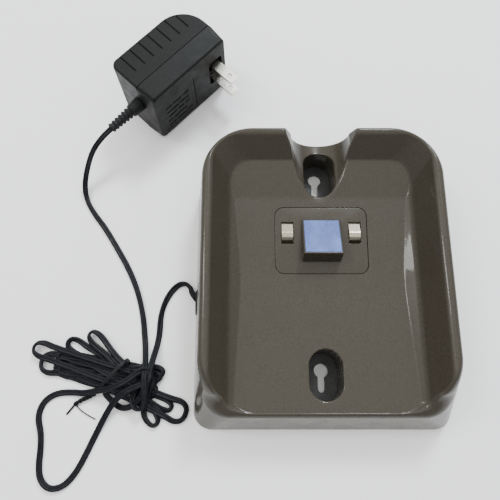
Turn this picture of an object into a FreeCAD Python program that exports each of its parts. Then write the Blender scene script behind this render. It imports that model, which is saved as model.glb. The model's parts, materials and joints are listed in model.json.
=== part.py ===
"""Charging stand for a hand-held lab pipette controller, with its wall adapter and cord.

Millimetres, +Z up. The origin is the centre of the stand's footprint, on the surface it stands on.
+Y points to the back wall with the notch, +X to the right. The adapter and the tied cord lie on the
same surface, to the left of the stand.
"""
import FreeCAD, Part
import math
import os

V = FreeCAD.Vector

# ---- stand: overall sizes -------------------------------------------------------------------------
STAND_WIDTH = 142.6
STAND_LENGTH = 163.0
RIM_HEIGHT = 45.0
SKIRT_LIFT = 1.0            # the skirt's lower edge clears the surface; the feet carry the stand
WALL = 2.4                  # moulded wall
FLOOR_WALL = 2.4            # moulded tray floor

# ---- stand: outer form ----------------------------------------------------------------------------
SIDE_FLARE = 5.3            # how far the skirt stands out past the rim on each side
FRONT_FLARE = 11.2          # the same at the front apron, measured at the rim's height
BACK_FLARE = 0.6
BASE_FRONT_RADIUS = 10.0
BASE_BACK_RADIUS = 30.0
RIM_FRONT_RADIUS = 26.0
RIM_BACK_RADIUS = 28.0
LIP_HEIGHT = 27.4           # front lip, where the rim has run down
DROP_START = 29.5           # from the front edge to where the rim starts to run down
DROP_END = 4.5              # from the front edge to where it has run down

# ---- stand: tray ----------------------------------------------------------------------------------
RIM_WIDTH = 5.0
TRAY_SLOPE = 0.57           # side wall: sideways per unit of height
BACK_SLOPE = 0.94           # back wall: the same, towards the back
TRAY_FRONT = 8.7            # from the front edge to the inside of the lip
TRAY_BACK_AT_RIM = 4.2      # from the back edge to the tray, at the rim
TRAY_FRONT_RADIUS = 6.0
TRAY_BACK_RADIUS = 14.0
TRAY_KNEE = 4.4             # height above the waist where the side wall bends into the floor
KNEE_RUN = 7.4              # how far that bend comes in over the floor
FLOOR_FRONT = 27.0          # floor height at the lip
FLOOR_WAIST = 24.5          # lowest point of the floor
WAIST_FROM_BACK = 81.5
RAMP_FROM_BACK = 36.5       # where the floor starts up to the back wall
RAMP_HEIGHT = 27.0
KINK_FROM_BACK = 15.5
KINK_HEIGHT = 33.0

# ---- stand: notch and trough in the back wall -----------------------------------------------------
TROUGH_RADIUS = 16.5
TROUGH_BOTTOM = 20.0        # at the outer back face
NOTCH_FLARE = 0.47          # sideways per unit of height above the trough

# ---- stand: wells and keyholes --------------------------------------------------------------------
WELL_WIDTH = 17.5
UPPER_WELL_LENGTH = 29.5
LOWER_WELL_LENGTH = 26.5
WELL_WALL = 2.0
UPPER_KEYHOLE_FROM_BACK = 15.4
LOWER_KEYHOLE_FROM_FRONT = 31.7
UPPER_WELL_OFFSET = -5.6    # well's centre from its keyhole's round end
LOWER_WELL_OFFSET = -3.9
KEYHOLE_RADIUS = 4.0
KEYHOLE_SLOT = 4.0
KEYHOLE_REACH = 11.9        # from the round end's centre to the slot's end

# ---- base cover, feet and screws ------------------------------------------------------------------
COVER_THICKNESS = 2.5
COVER_GAP = 0.3
WELL_GAP = 0.1              # between a well's lower rim and the cover
POST_RADIUS = 4.0
POST_GAP = 0.1
POST_SIDE = 23.0            # from the skirt's widest side to a screw post
POST_FROM_FRONT = 21.5
POST_FROM_BACK = 33.0
SCREW_RADIUS = 1.45
SCREW_HEAD_RADIUS = 3.0
SCREW_HEAD = 1.3
SCREW_LENGTH = 13.0
SCREW_CLEAR = 0.25
FOOT_RADIUS = 5.0
FOOT_RECESS = 1.0
FOOT_SIDE = 12.5
FOOT_SIDE_BACK = 24.0
FOOT_FROM_FRONT = 12.5
FOOT_FROM_BACK = 13.0

# ---- contact panel, hook and contacts -------------------------------------------------------------
PANEL_WIDTH = 51.6
PANEL_LENGTH = 38.2
PANEL_RADIUS = 5.0
PANEL_THICKNESS = 2.4
PANEL_GAP = 0.25
PANEL_FROM_BACK = 61.3      # panel's centre
LEDGE = 1.6
LEDGE_THICKNESS = 1.6
SEAT_WALL = 2.0
WINDOW_WIDTH = 7.1
WINDOW_LENGTH = 12.6
WINDOW_OFFSET = 18.9
WINDOW_FORWARD = 4.3        # window's centre from the panel's centre, towards the back
HOOK_WIDTH = 21.5
HOOK_HEIGHT = 11.0
HOOK_BACK = 11.8            # from the panel's centre
HOOK_TIP = -10.0
HOOK_FOOT = -12.4
HOOK_BACK_HEIGHT = 1.6
PAD_INSET = 0.9
PAD_DEPTH = 0.7
PAD_PROUD = 0.15
CARRIER_DEPTH = 4.6
CARRIER_WIDTH = 47.6
CARRIER_FRONT = -7.4
CARRIER_BACK = 12.6
POCKET_FLOOR = 0.7
STRIP_WIDTH = 6.3
STRIP_THICKNESS = 0.4
ROOT_FORWARD = -4.7         # the strip's root line, from the panel's centre
ROOT_DEPTH = -3.5           # below the panel's top face
ROOT_RADIUS = 0.5
ROOT_CLEAR = 0.06
HOOK_SCREW_OFFSET = 5.5
HOOK_SCREW_RADIUS = 1.2
HOOK_SCREW_BITE = 4.0

# ---- board in the stand ---------------------------------------------------------------------------
BOARD_LENGTH = 44.0
BOARD_WIDTH = 26.0
BOARD_THICKNESS = 1.6
BOARD_BELOW_CARRIER = 7.22  # from the carrier's lowest edge to the board's underside
BOARD_FORWARD = -2.0        # board's centre from the panel's centre
PILLAR_RADIUS = 2.6
PILLAR_INSET = 3.6
TERMINAL_INSET = 0.4
TERMINAL_LENGTH = 7.0
TERMINAL_HEIGHT = 5.2
TERMINAL_FRONT = -6.0       # from the board's centre
TERMINAL_BACK = 3.6
TERMINAL_CORD = -3.0
LEAD_INSET = 10.6
LEAD_FORWARD = 4.2          # from the panel's centre, towards the back

# ---- cable exit in the left skirt -----------------------------------------------------------------
CORD_WIDTH = 3.5
EXIT_HEIGHT = 5.2
EXIT_FORWARD = -11.4        # grommet's centre along Y
EXIT_ANGLE = 50.0           # degrees between the bore and the skirt's normal, towards the back
GROMMET_NECK = 2.9
GROMMET_FLANGE = 3.8
GROMMET_HALF_LENGTH = 3.4   # straight half-length of the oval
BORE_CLEAR = 0.05
BORE_RELIEF = 0.9           # the bore is this much wider behind the outer flange
EXIT_RUN = 4.2              # the cord's straight run outside the grommet
INNER_RUN = 9.0             # and inside it

# ---- wall adapter ---------------------------------------------------------------------------------
ADAPTER_LENGTH = 60.0
ADAPTER_DEPTH = 36.0
ADAPTER_HEIGHT = 46.0
ADAPTER_SEAM = 13.5
ADAPTER_WALL = 2.0
ADAPTER_DRAFT = 1.0
ADAPTER_EDGE = 3.0
ADAPTER_FAR_RADIUS = 18.0
ADAPTER_NEAR_RADIUS = 5.0
SEAM_STEP = 0.4
RIB_COUNT = 7
RIB_PITCH = 7.0
RIB_GROOVE = 0.8
RIB_DEPTH = 0.5
RIB_FIRST = 7.5
RIB_REACH = 11.0
ADAPTER_CORNER = (-95.7, 95.5)
ADAPTER_TURN = 46.1         # degrees from +X to the adapter's length
BLADE_WIDTH = 6.35
BLADE_THICKNESS = 1.5
BLADE_SPACING = 12.7
BLADE_OUT = 17.0
BLADE_IN = 6.0
BLADE_ALONG = 50.0
BLADE_HOLE = 1.6
BLADE_HOLE_OUT = 12.0
BLADE_LEAD = 1.1
BOOT_HEIGHT = 29.0
BOOT_LENGTH = 23.5
BOOT_COLLAR = 8.0
BOOT_COLLAR_RADIUS = 4.4
BOOT_CORE_RADIUS = 2.6
BOOT_RIB_RADIUS = 3.4
BOOT_RIBS = 5
BOOT_FLANGE = 1.6

# ---- transformer ----------------------------------------------------------------------------------
CORE_START = 10.0
CORE_LENGTH = 36.0
CORE_HEIGHT = 30.0
CORE_STACK = 16.0
CORE_LEG = 12.0
CORE_YOKE = 6.0
CORE_FORWARD = 17.5         # stack's middle, from the blade face
BOBBIN_WALL = 0.8
BOBBIN_CLEAR = 0.2
WINDING_THICKNESS = 4.4

# ---- free cord ------------------------------------------------------------------------------------
CORD_LIE = CORD_WIDTH / 2.0
HANK_HEIGHT = 11.0
LOOP_HEIGHT = 4.4
TIE_WIDTH = 2.6
TIE_THICKNESS = 0.7

ADAPTER_LEAD = [
    (-121.7, 88.0, 29.0), (-127.6, 81.9, 28.0), (-133.6, 76.6, 22.5), (-138.6, 70.6, 13.0),
    (-141.9, 63.5, 5.0), (-141.2, 54.5, 1.75), (-136.0, 45.5, 1.75), (-128.0, 35.5, 1.75),
    (-119.8, 22.5, 1.75), (-112.2, 10.0, 1.75), (-106.0, -3.5, 1.75), (-102.0, -18.5, 1.75),
    (-100.4, -33.0, 1.75), (-98.6, -46.0, 3.4),
]
CRADLE_LEAD = [
    (-74.7, -2.2, 4.0), (-77.8, 0.9, 2.6), (-82.2, 0.4, 1.75), (-86.6, -4.2, 1.75),
    (-90.0, -11.0, 1.75), (-91.9, -19.2, 1.75), (-92.0, -27.8, 1.75), (-93.7, -36.6, 1.75),
    (-95.0, -45.6, 3.2),
]
BIG_LOOP = [
    (-126.3, -61.0, 4.4), (-132.2, -62.4, 4.0), (-140.0, -61.4, 2.2), (-148.8, -62.0, 1.75),
    (-155.4, -66.8, 1.75), (-157.6, -74.8, 1.75), (-154.6, -83.4, 1.75), (-154.0, -92.0, 1.75),
    (-154.4, -100.0, 1.75), (-153.0, -107.2, 1.75), (-147.6, -112.2, 1.75), (-140.2, -110.8, 1.75),
    (-134.2, -104.2, 1.75), (-129.8, -95.6, 1.75), (-124.2, -82.6, 1.75), (-117.6, -70.4, 3.0),
]
HANK_OUTLINE = [
    (-162.5, -38.0), (-158.0, -31.8), (-146.0, -33.0), (-130.0, -36.2), (-112.0, -42.0),
    (-91.5, -47.5), (-89.5, -53.5), (-95.0, -63.0), (-103.0, -70.0), (-113.0, -72.0),
    (-120.5, -66.5), (-126.0, -60.0), (-136.0, -57.6), (-149.5, -52.8), (-159.5, -45.0),
]
UP_LOOP_OUTLINE = [
    (-131.5, -33.0), (-131.0, -27.5), (-126.5, -27.8), (-111.0, -42.0), (-117.0, -47.0),
]
RIGHT_LOOP_OUTLINE = [
    (-98.0, -57.0), (-86.0, -58.8), (-76.2, -68.0), (-76.4, -75.0), (-82.5, -77.4), (-101.0, -65.0),
]
LOW_LOOP_OUTLINE = [
    (-108.0, -68.0), (-99.0, -76.5), (-93.0, -79.4), (-89.8, -76.0), (-99.0, -63.0),
]
STUB_OUTLINE = [
    (-96.0, -59.0), (-84.6, -65.4), (-83.4, -69.6), (-88.0, -71.0), (-99.0, -64.0),
]
TIE_START = (-108.9, -44.2)
TIE_END = (-124.2, -60.4)
TIE_TAIL = [(-124.6, -60.8, 0.9), (-130.6, -65.6, 0.9), (-137.5, -67.8, 0.9), (-141.7, -73.6, 0.9)]

# ---- values worked out from the ones above --------------------------------------------------------
half_width = STAND_WIDTH / 2.0
front = -STAND_LENGTH / 2.0
back = STAND_LENGTH / 2.0
cover_top = SKIRT_LIFT + COVER_THICKNESS
waist_y = back - WAIST_FROM_BACK
ramp_y = back - RAMP_FROM_BACK
kink_y = back - KINK_FROM_BACK
tray_front = front + TRAY_FRONT
panel_y = back - PANEL_FROM_BACK
upper_keyhole = back - UPPER_KEYHOLE_FROM_BACK
lower_keyhole = front + LOWER_KEYHOLE_FROM_FRONT
floor_rise = (RAMP_HEIGHT - FLOOR_WAIST) / (ramp_y - waist_y)
panel_angle = math.degrees(math.atan(floor_rise))
panel_z = FLOOR_WAIST + floor_rise * (panel_y - waist_y)
board_y = panel_y + BOARD_FORWARD
carrier_edge = CARRIER_FRONT * math.sin(math.radians(panel_angle))
carrier_low = carrier_edge - (PANEL_THICKNESS + CARRIER_DEPTH) * math.cos(math.radians(panel_angle))
board_z = panel_z + carrier_low - BOARD_BELOW_CARRIER


# ---- small helpers --------------------------------------------------------------------------------
def box(x0, x1, y0, y1, z0, z1):
    return Part.makeBox(x1 - x0, y1 - y0, z1 - z0, V(x0, y0, z0))


def rod(radius, start, end):
    axis = V(*end) - V(*start)
    return Part.makeCylinder(radius, axis.Length, V(*start), axis)


def polygon(points):
    return Part.makePolygon([V(*p) for p in points] + [V(*points[0])])


def prism(points, direction):
    return Part.Face(polygon(points)).extrude(V(*direction))


def arc(a, b, c):
    return Part.Arc(V(*a), V(*b), V(*c)).toShape()


def line(a, b):
    return Part.LineSegment(V(*a), V(*b)).toShape()


def outline(half, y0, y1, r0, r1, z):
    """Closed outline of a plate with r0 at the front corners and r1 at the back ones."""
    d0 = r0 * (1.0 - math.sqrt(0.5))
    d1 = r1 * (1.0 - math.sqrt(0.5))
    edges = [
        line((-half + r0, y0, z), (half - r0, y0, z)),
        arc((half - r0, y0, z), (half - d0, y0 + d0, z), (half, y0 + r0, z)),
        line((half, y0 + r0, z), (half, y1 - r1, z)),
        arc((half, y1 - r1, z), (half - d1, y1 - d1, z), (half - r1, y1, z)),
        line((half - r1, y1, z), (-half + r1, y1, z)),
        arc((-half + r1, y1, z), (-half + d1, y1 - d1, z), (-half, y1 - r1, z)),
        line((-half, y1 - r1, z), (-half, y0 + r0, z)),
        arc((-half, y0 + r0, z), (-half + d0, y0 + d0, z), (-half + r0, y0, z)),
    ]
    return Part.Wire(edges)


def plate(half, y0, y1, radius, z0, z1):
    wire = outline(half, y0, y1, radius, radius, z0)
    return Part.Face(wire).extrude(V(0, 0, z1 - z0))


def oval(radius, y0, y1, z0, z1):
    """Upright block with round ends; y0 and y1 are its ends along Y."""
    wire = Part.Wire([
        line((radius, y0 + radius, z0), (radius, y1 - radius, z0)),
        arc((radius, y1 - radius, z0), (0, y1, z0), (-radius, y1 - radius, z0)),
        line((-radius, y1 - radius, z0), (-radius, y0 + radius, z0)),
        arc((-radius, y0 + radius, z0), (0, y0, z0), (radius, y0 + radius, z0)),
    ])
    return Part.Face(wire).extrude(V(0, 0, z1 - z0))


def in_panel(shape):
    """Puts a shape drawn about the panel's centre, top face at zero, into the tilted floor."""
    shape.rotate(V(0, 0, 0), V(1, 0, 0), panel_angle)
    shape.translate(V(0, panel_y, panel_z))
    return shape


def in_adapter(shape):
    """Puts a shape drawn in the adapter's own length, depth and height where the adapter lies."""
    shape.rotate(V(0, 0, 0), V(0, 0, 1), ADAPTER_TURN)
    shape.translate(V(ADAPTER_CORNER[0], ADAPTER_CORNER[1], 0))
    return shape


def rounded_route(points, closed=False):
    """Straight runs joined by tangent arcs, each as large as its two runs allow."""
    spots = [V(*p) for p in points]
    count = len(spots)
    first = 0 if closed else 1
    last = count if closed else count - 1
    bends = []
    for i in range(first, last):
        here = spots[i]
        back_run = spots[i - 1] - here
        next_run = spots[(i + 1) % count] - here
        half_turn = (math.pi - back_run.getAngle(next_run)) / 2.0
        reach = 0.45 * min(back_run.Length, next_run.Length)
        radius = reach / math.tan(half_turn)
        back_run.normalize()
        next_run.normalize()
        middle = back_run + next_run
        middle.normalize()
        depth = radius / math.cos(half_turn) - radius
        bends.append((here + back_run * reach, here + middle * depth, here + next_run * reach, radius))
    edges = []
    at = None if closed else spots[0]
    for start, middle, end, radius in bends:
        if at is not None:
            edges.append(Part.LineSegment(at, start).toShape())
        edges.append(Part.Arc(start, middle, end).toShape())
        at = end
    finish = bends[0][0] if closed else spots[-1]
    edges.append(Part.LineSegment(at, finish).toShape())
    return Part.Wire(edges), [bend[3] for bend in bends]


def tube(name, points, diameter):
    """Round tube along a rounded route. Prints its radii and how its volume compares."""
    path, radii = rounded_route(points)
    way = V(*points[1]) - V(*points[0])
    ring = Part.Wire([Part.Circle(V(*points[0]), way, diameter / 2.0).toShape()])
    solid = path.makePipeShell([ring], True, False)
    section = math.pi * diameter ** 2 / 4.0
    share = solid.Volume / (section * path.Length)
    print(name, "length", round(path.Length, 1), "radii", [round(r, 1) for r in radii])
    print(name, "volume over section times length", round(share, 4))
    return solid


def flat_block(points, height):
    """Upright block with a rounded free outline, standing on the surface."""
    wire, radii = rounded_route([(x, y, 0.0) for x, y in points], True)
    return Part.Face(wire).extrude(V(0, 0, height))


def screw(x, y, head_z, head_radius, head, radius, length):
    """Pan-head screw driven upwards; head_z is the head's outer face."""
    shape = rod(head_radius, (x, y, head_z), (x, y, head_z + head))
    shape = shape.fuse(rod(radius, (x, y, head_z + head), (x, y, head_z + length)))
    cross = box(x - 0.35, x + 0.35, y - head_radius * 0.6, y + head_radius * 0.6, head_z, head_z + 0.6)
    other = box(x - head_radius * 0.6, x + head_radius * 0.6, y - 0.35, y + 0.35, head_z, head_z + 0.6)
    return shape.removeSplitter().cut(cross).cut(other)


# ---- the stand's shell ----------------------------------------------------------------------------
def drop_cut(inset):
    """Everything above the rim's run-down to the front lip, drawn inset below the surface."""
    y0 = front + DROP_START
    y1 = front + DROP_END
    fall = RIM_HEIGHT - LIP_HEIGHT
    run = y0 - y1
    radius = (run ** 2 + fall ** 2) / (4.0 * fall)
    turn = 2.0 * math.atan(fall / run)

    def on(cy, cz, r, angle):
        return (0.0, cy + r * math.cos(angle), cz + r * math.sin(angle))

    up = math.pi / 2.0
    high = [on(y0, RIM_HEIGHT - radius, radius - inset, up + turn * k / 2.0) for k in (0, 1, 2)]
    low = [on(y1, LIP_HEIGHT + radius, radius + inset, turn * k / 2.0 - up) for k in (2, 1, 0)]
    roof = RIM_HEIGHT + 40.0
    ahead = front - 40.0
    edges = [
        arc(*high),
        arc(*low),
        line(low[2], (0.0, ahead, low[2][2])),
        line((0.0, ahead, low[2][2]), (0.0, ahead, roof)),
        line((0.0, ahead, roof), (0.0, y0, roof)),
        line((0.0, y0, roof), high[0]),
    ]
    shape = Part.Face(Part.Wire(edges)).extrude(V(2.0 * STAND_WIDTH, 0, 0))
    shape.translate(V(-STAND_WIDTH, 0, 0))
    return shape


def outer_form(inset, z0):
    """The stand's outer form, drawn inset inside its faces, from z0 up."""
    def section(z, grow_r):
        share = (z - SKIRT_LIFT) / (RIM_HEIGHT - SKIRT_LIFT)
        half = half_width - SIDE_FLARE * share - inset
        y0 = front + FRONT_FLARE * share + inset
        y1 = back - BACK_FLARE * share - inset
        r0 = BASE_FRONT_RADIUS + (RIM_FRONT_RADIUS - BASE_FRONT_RADIUS) * share - inset
        r1 = BASE_BACK_RADIUS + (RIM_BACK_RADIUS - BASE_BACK_RADIUS) * share - inset
        return outline(half, y0, y1, r0, r1, z)

    solid = Part.makeLoft([section(z0, 0), section(RIM_HEIGHT - inset, 0)], True, True)
    return solid.cut(drop_cut(inset))


def tray_half(z):
    return half_width - SIDE_FLARE - RIM_WIDTH - TRAY_SLOPE * (RIM_HEIGHT - z)


def tray_back(z):
    return back - TRAY_BACK_AT_RIM - BACK_SLOPE * (RIM_HEIGHT - z)


def tray_form(grow):
    """The tray's hollow, drawn grow outside its faces."""
    top = RIM_HEIGHT + 6.0
    knee = FLOOR_WAIST + TRAY_KNEE
    low = FLOOR_WAIST - 4.0

    def section(half, z):
        y1 = tray_back(z) + grow
        return outline(half + grow, tray_front - grow, y1, TRAY_FRONT_RADIUS, TRAY_BACK_RADIUS, z)

    drop = (knee - low) / TRAY_KNEE * KNEE_RUN
    upper = Part.makeLoft([section(tray_half(knee), knee), section(tray_half(top), top)], True, True)
    lower = Part.makeLoft([section(tray_half(knee) - drop, low), section(tray_half(knee), knee)], True, True)
    slope = (FLOOR_FRONT - FLOOR_WAIST) / (waist_y - tray_front)
    ahead = front - 20.0
    behind = back + 40.0
    profile = [
        (-STAND_WIDTH, ahead, FLOOR_WAIST + slope * (waist_y - ahead) - grow),
        (-STAND_WIDTH, waist_y, FLOOR_WAIST - grow),
        (-STAND_WIDTH, ramp_y, RAMP_HEIGHT - grow),
        (-STAND_WIDTH, kink_y, KINK_HEIGHT - grow),
        (-STAND_WIDTH, behind, KINK_HEIGHT + (behind - kink_y) / BACK_SLOPE - grow),
        (-STAND_WIDTH, behind, top + 60.0),
        (-STAND_WIDTH, ahead, top + 60.0),
    ]
    above = prism(profile, (2.0 * STAND_WIDTH, 0, 0))
    return upper.fuse(lower).common(above)


def trough_form(grow):
    """U-shaped cut that falls from the tray's floor out through the back wall."""
    fall = (RAMP_HEIGHT - TROUGH_BOTTOM) / (back - ramp_y)
    radius = TROUGH_RADIUS + grow
    top = RIM_HEIGHT + 15.0

    def section(y):
        centre = TROUGH_BOTTOM + fall * (back - y) + TROUGH_RADIUS
        spread = radius + NOTCH_FLARE * (top - centre)
        return Part.Wire([
            arc((-radius, y, centre), (0, y, centre - radius), (radius, y, centre)),
            line((radius, y, centre), (spread, y, top)),
            line((spread, y, top), (-spread, y, top)),
            line((-spread, y, top), (-radius, y, centre)),
        ])

    return Part.makeLoft([section(ramp_y - 7.0), section(back + 10.0)], True, True)


def well_span(keyhole, offset, length):
    centre = keyhole + offset
    return centre - length / 2.0, centre + length / 2.0


def wells(grow, z0, z1):
    upper = well_span(upper_keyhole, UPPER_WELL_OFFSET, UPPER_WELL_LENGTH)
    lower = well_span(lower_keyhole, LOWER_WELL_OFFSET, LOWER_WELL_LENGTH)
    radius = WELL_WIDTH / 2.0 + grow
    first = oval(radius, upper[0] - grow, upper[1] + grow, z0, z1)
    return [first, oval(radius, lower[0] - grow, lower[1] + grow, z0, z1)]


def post_places():
    x = half_width - POST_SIDE
    return [(side * x, y) for y in (front + POST_FROM_FRONT, back - POST_FROM_BACK) for side in (-1, 1)]


def exit_oval(radius, x0, x1):
    """Oval block through the left skirt, long way along Y."""
    y0 = EXIT_FORWARD - GROMMET_HALF_LENGTH
    y1 = EXIT_FORWARD + GROMMET_HALF_LENGTH
    z = EXIT_HEIGHT
    wire = Part.Wire([
        line((x0, y0, z + radius), (x0, y1, z + radius)),
        arc((x0, y1, z + radius), (x0, y1 + radius, z), (x0, y1, z - radius)),
        line((x0, y1, z - radius), (x0, y0, z - radius)),
        arc((x0, y0, z - radius), (x0, y0 - radius, z), (x0, y0, z + radius)),
    ])
    return Part.Face(wire).extrude(V(x1 - x0, 0, 0))


def cradle_shell():
    ceiling = FLOOR_WAIST + 5.0
    shell = outer_form(0.0, SKIRT_LIFT)
    hollow = outer_form(WALL, SKIRT_LIFT - 1.0)
    hollow = hollow.cut(tray_form(FLOOR_WALL)).cut(trough_form(WALL))
    shell = shell.cut(hollow)
    seat_half = PANEL_WIDTH / 2.0 + PANEL_GAP
    seat_long = PANEL_LENGTH / 2.0 + PANEL_GAP
    seat_low = -PANEL_THICKNESS - LEDGE_THICKNESS
    ring = plate(seat_half + SEAT_WALL, -seat_long - SEAT_WALL, seat_long + SEAT_WALL,
                 PANEL_RADIUS + SEAT_WALL, seat_low, -0.4)
    additions = [in_panel(ring)]
    additions += wells(WELL_WALL, cover_top + WELL_GAP, ceiling)
    for x, y in post_places():
        additions.append(rod(POST_RADIUS, (x, y, cover_top + POST_GAP), (x, y, ceiling)))
    shell = shell.fuse(additions)
    shell = shell.cut(tray_form(0.0)).cut(trough_form(0.0))
    cuts = wells(0.0, 0.0, RIM_HEIGHT)
    cuts.append(in_panel(plate(seat_half, -seat_long, seat_long, PANEL_RADIUS + PANEL_GAP,
                               -PANEL_THICKNESS, 8.0)))
    cuts.append(in_panel(plate(seat_half - LEDGE, LEDGE - seat_long, seat_long - LEDGE,
                               PANEL_RADIUS, seat_low - 1.0, 0.0)))
    for x, y in post_places():
        cuts.append(rod(SCREW_RADIUS, (x, y, 0.0), (x, y, SKIRT_LIFT + SCREW_LENGTH + 1.0)))
    cuts.append(exit_oval(GROMMET_NECK, -half_width - 5.0, -half_width + 8.0))
    cuts.append(exit_oval(GROMMET_FLANGE, -half_width - 5.0, grommet_shoulder()))
    return shell.cut(cuts)


# ---- base cover, feet and screws ------------------------------------------------------------------
def keyhole(y):
    z1 = cover_top + 2.0
    hole = rod(KEYHOLE_RADIUS, (0, y, -1.0), (0, y, z1))
    end = y - KEYHOLE_REACH + KEYHOLE_SLOT / 2.0
    slot = box(-KEYHOLE_SLOT / 2.0, KEYHOLE_SLOT / 2.0, end, y, -1.0, z1)
    return hole.fuse([slot, rod(KEYHOLE_SLOT / 2.0, (0, end, -1.0), (0, end, z1))])


def foot_places():
    rows = [(half_width - FOOT_SIDE, front + FOOT_FROM_FRONT)]
    rows.append((half_width - FOOT_SIDE_BACK, back - FOOT_FROM_BACK))
    return [(side * x, y) for x, y in rows for side in (-1, 1)]


def pillar_places():
    x = BOARD_LENGTH / 2.0 - PILLAR_INSET
    y = BOARD_WIDTH / 2.0 - PILLAR_INSET
    return [(sx * x, board_y + sy * y) for sy in (-1, 1) for sx in (-1, 1)]


def base_cover():
    cover = outer_form(WALL + COVER_GAP, SKIRT_LIFT - 1.0)
    cover = cover.common(box(-STAND_WIDTH, STAND_WIDTH, 2 * front, 2 * back, SKIRT_LIFT, cover_top))
    pillars = [rod(PILLAR_RADIUS, (x, y, SKIRT_LIFT), (x, y, board_z)) for x, y in pillar_places()]
    cover = cover.fuse(pillars).removeSplitter()
    cuts = [keyhole(upper_keyhole), keyhole(lower_keyhole)]
    for x, y in post_places():
        cuts.append(rod(SCREW_RADIUS + SCREW_CLEAR, (x, y, 0), (x, y, cover_top + 1.0)))
        cuts.append(rod(SCREW_HEAD_RADIUS + SCREW_CLEAR, (x, y, 0), (x, y, SKIRT_LIFT + SCREW_HEAD)))
    for x, y in foot_places():
        cuts.append(rod(FOOT_RADIUS, (x, y, 0), (x, y, SKIRT_LIFT + FOOT_RECESS)))
    for x, y in pillar_places():
        cuts.append(rod(HOOK_SCREW_RADIUS, (x, y, cover_top), (x, y, board_z + 1.0)))
    reach = GROMMET_HALF_LENGTH + GROMMET_FLANGE + 1.0
    cuts.append(box(-half_width, -half_width + 7.5, EXIT_FORWARD - reach, EXIT_FORWARD + reach, 0, 9))
    return cover.cut(cuts)


def cover_screws():
    parts = [screw(x, y, SKIRT_LIFT, SCREW_HEAD_RADIUS, SCREW_HEAD, SCREW_RADIUS, SCREW_LENGTH)
             for x, y in post_places()]
    return Part.makeCompound(parts)


def rubber_feet():
    feet = []
    for x, y in foot_places():
        foot = rod(FOOT_RADIUS, (x, y, 0), (x, y, SKIRT_LIFT + FOOT_RECESS))
        rim = [e for e in foot.Edges if abs(e.CenterOfMass.z) < 1e-6 and e.Closed]
        feet.append(foot.makeFillet(0.6, rim))
    return Part.makeCompound(feet)


# ---- cable grommet and the cord inside the stand --------------------------------------------------
def grommet_shoulder():
    return -half_width + 1.5


def exit_way():
    turn = math.radians(EXIT_ANGLE)
    return V(-math.cos(turn), math.sin(turn), 0)


def exit_point():
    """Where the cord's middle leaves the grommet's outer face."""
    run = half_width - 0.1 + (-half_width + 3.4)
    return (-half_width + 0.1, EXIT_FORWARD + math.tan(math.radians(EXIT_ANGLE)) * run / 2.0 + 0.6,
            EXIT_HEIGHT)


def cable_grommet():
    shape = exit_oval(GROMMET_FLANGE, exit_point()[0], grommet_shoulder())
    shape = shape.fuse([
        exit_oval(GROMMET_NECK, grommet_shoulder(), -half_width + 4.2),
        exit_oval(GROMMET_FLANGE, -half_width + 4.2, -half_width + 5.4),
    ])
    middle = V(*exit_point())
    radius = CORD_WIDTH / 2.0 + BORE_CLEAR
    bore = Part.makeCylinder(radius, 40.0, middle + exit_way() * 20.0, exit_way() * -1)
    relief = Part.makeCylinder(radius + BORE_RELIEF, 20.0, middle - exit_way() * 3.2, exit_way() * -1)
    return shape.removeSplitter().cut([bore, relief])


def cord_inside():
    start = V(*exit_point())
    inner = start - exit_way() * INNER_RUN
    lie = cover_top + CORD_WIDTH / 2.0 + 0.2
    y = inner.y - 2.6
    edge = -BOARD_LENGTH / 2.0
    points = [
        tuple(start), tuple(inner), (inner.x + 9.0, y, lie), (inner.x + 21.0, y + 1.0, lie),
        (edge - 10.0, board_y - 20.0, board_z - 2.4),
        (edge - 6.6, board_y - 9.0, board_top() + 0.4),
        (edge + TERMINAL_INSET, board_y + TERMINAL_CORD, board_top() + TERMINAL_HEIGHT / 2.0),
    ]
    return tube("cord_inside", points, CORD_WIDTH)


def clamp_place():
    inner = V(*exit_point()) - exit_way() * INNER_RUN
    return inner.x + 14.5, inner.y - 2.1


def cord_clamp():
    x, y = clamp_place()
    top = cover_top + CORD_WIDTH + 2.4
    bar = box(x - 3.0, x + 3.0, y - 9.0, y + 9.0, cover_top, top)
    gap = box(x - 4.0, x + 4.0, y - 2.8, y + 2.8, cover_top - 1, cover_top + CORD_WIDTH + 0.25)
    bar = bar.cut(gap)
    for side in (-1, 1):
        bar = bar.cut(rod(HOOK_SCREW_RADIUS, (x, y + side * 6.0, cover_top), (x, y + side * 6.0, top)))
    return bar


def clamp_screws():
    x, y = clamp_place()
    top = cover_top + CORD_WIDTH + 2.4
    parts = []
    for side in (-1, 1):
        at = y + side * 6.0
        head = rod(2.2, (x, at, top), (x, at, top + 1.3))
        parts.append(head.fuse(rod(HOOK_SCREW_RADIUS, (x, at, cover_top), (x, at, top))).removeSplitter())
    return Part.makeCompound(parts)


# ---- contact panel, hook, carrier and contacts ----------------------------------------------------
def window_boxes(z0, z1):
    y0 = WINDOW_FORWARD - WINDOW_LENGTH / 2.0
    y1 = WINDOW_FORWARD + WINDOW_LENGTH / 2.0
    half = WINDOW_WIDTH / 2.0
    return [box(s * WINDOW_OFFSET - half, s * WINDOW_OFFSET + half, y0, y1, z0, z1) for s in (-1, 1)]


def contact_panel():
    panel = plate(PANEL_WIDTH / 2.0, -PANEL_LENGTH / 2.0, PANEL_LENGTH / 2.0, PANEL_RADIUS,
                  -PANEL_THICKNESS, 0.0)
    cuts = window_boxes(-PANEL_THICKNESS - 1.0, 1.0)
    for side in (-1, 1):
        x = side * HOOK_SCREW_OFFSET
        cuts.append(rod(HOOK_SCREW_RADIUS, (x, 0, -PANEL_THICKNESS), (x, 0, 1.0)))
    return in_panel(panel.cut(cuts))


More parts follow.
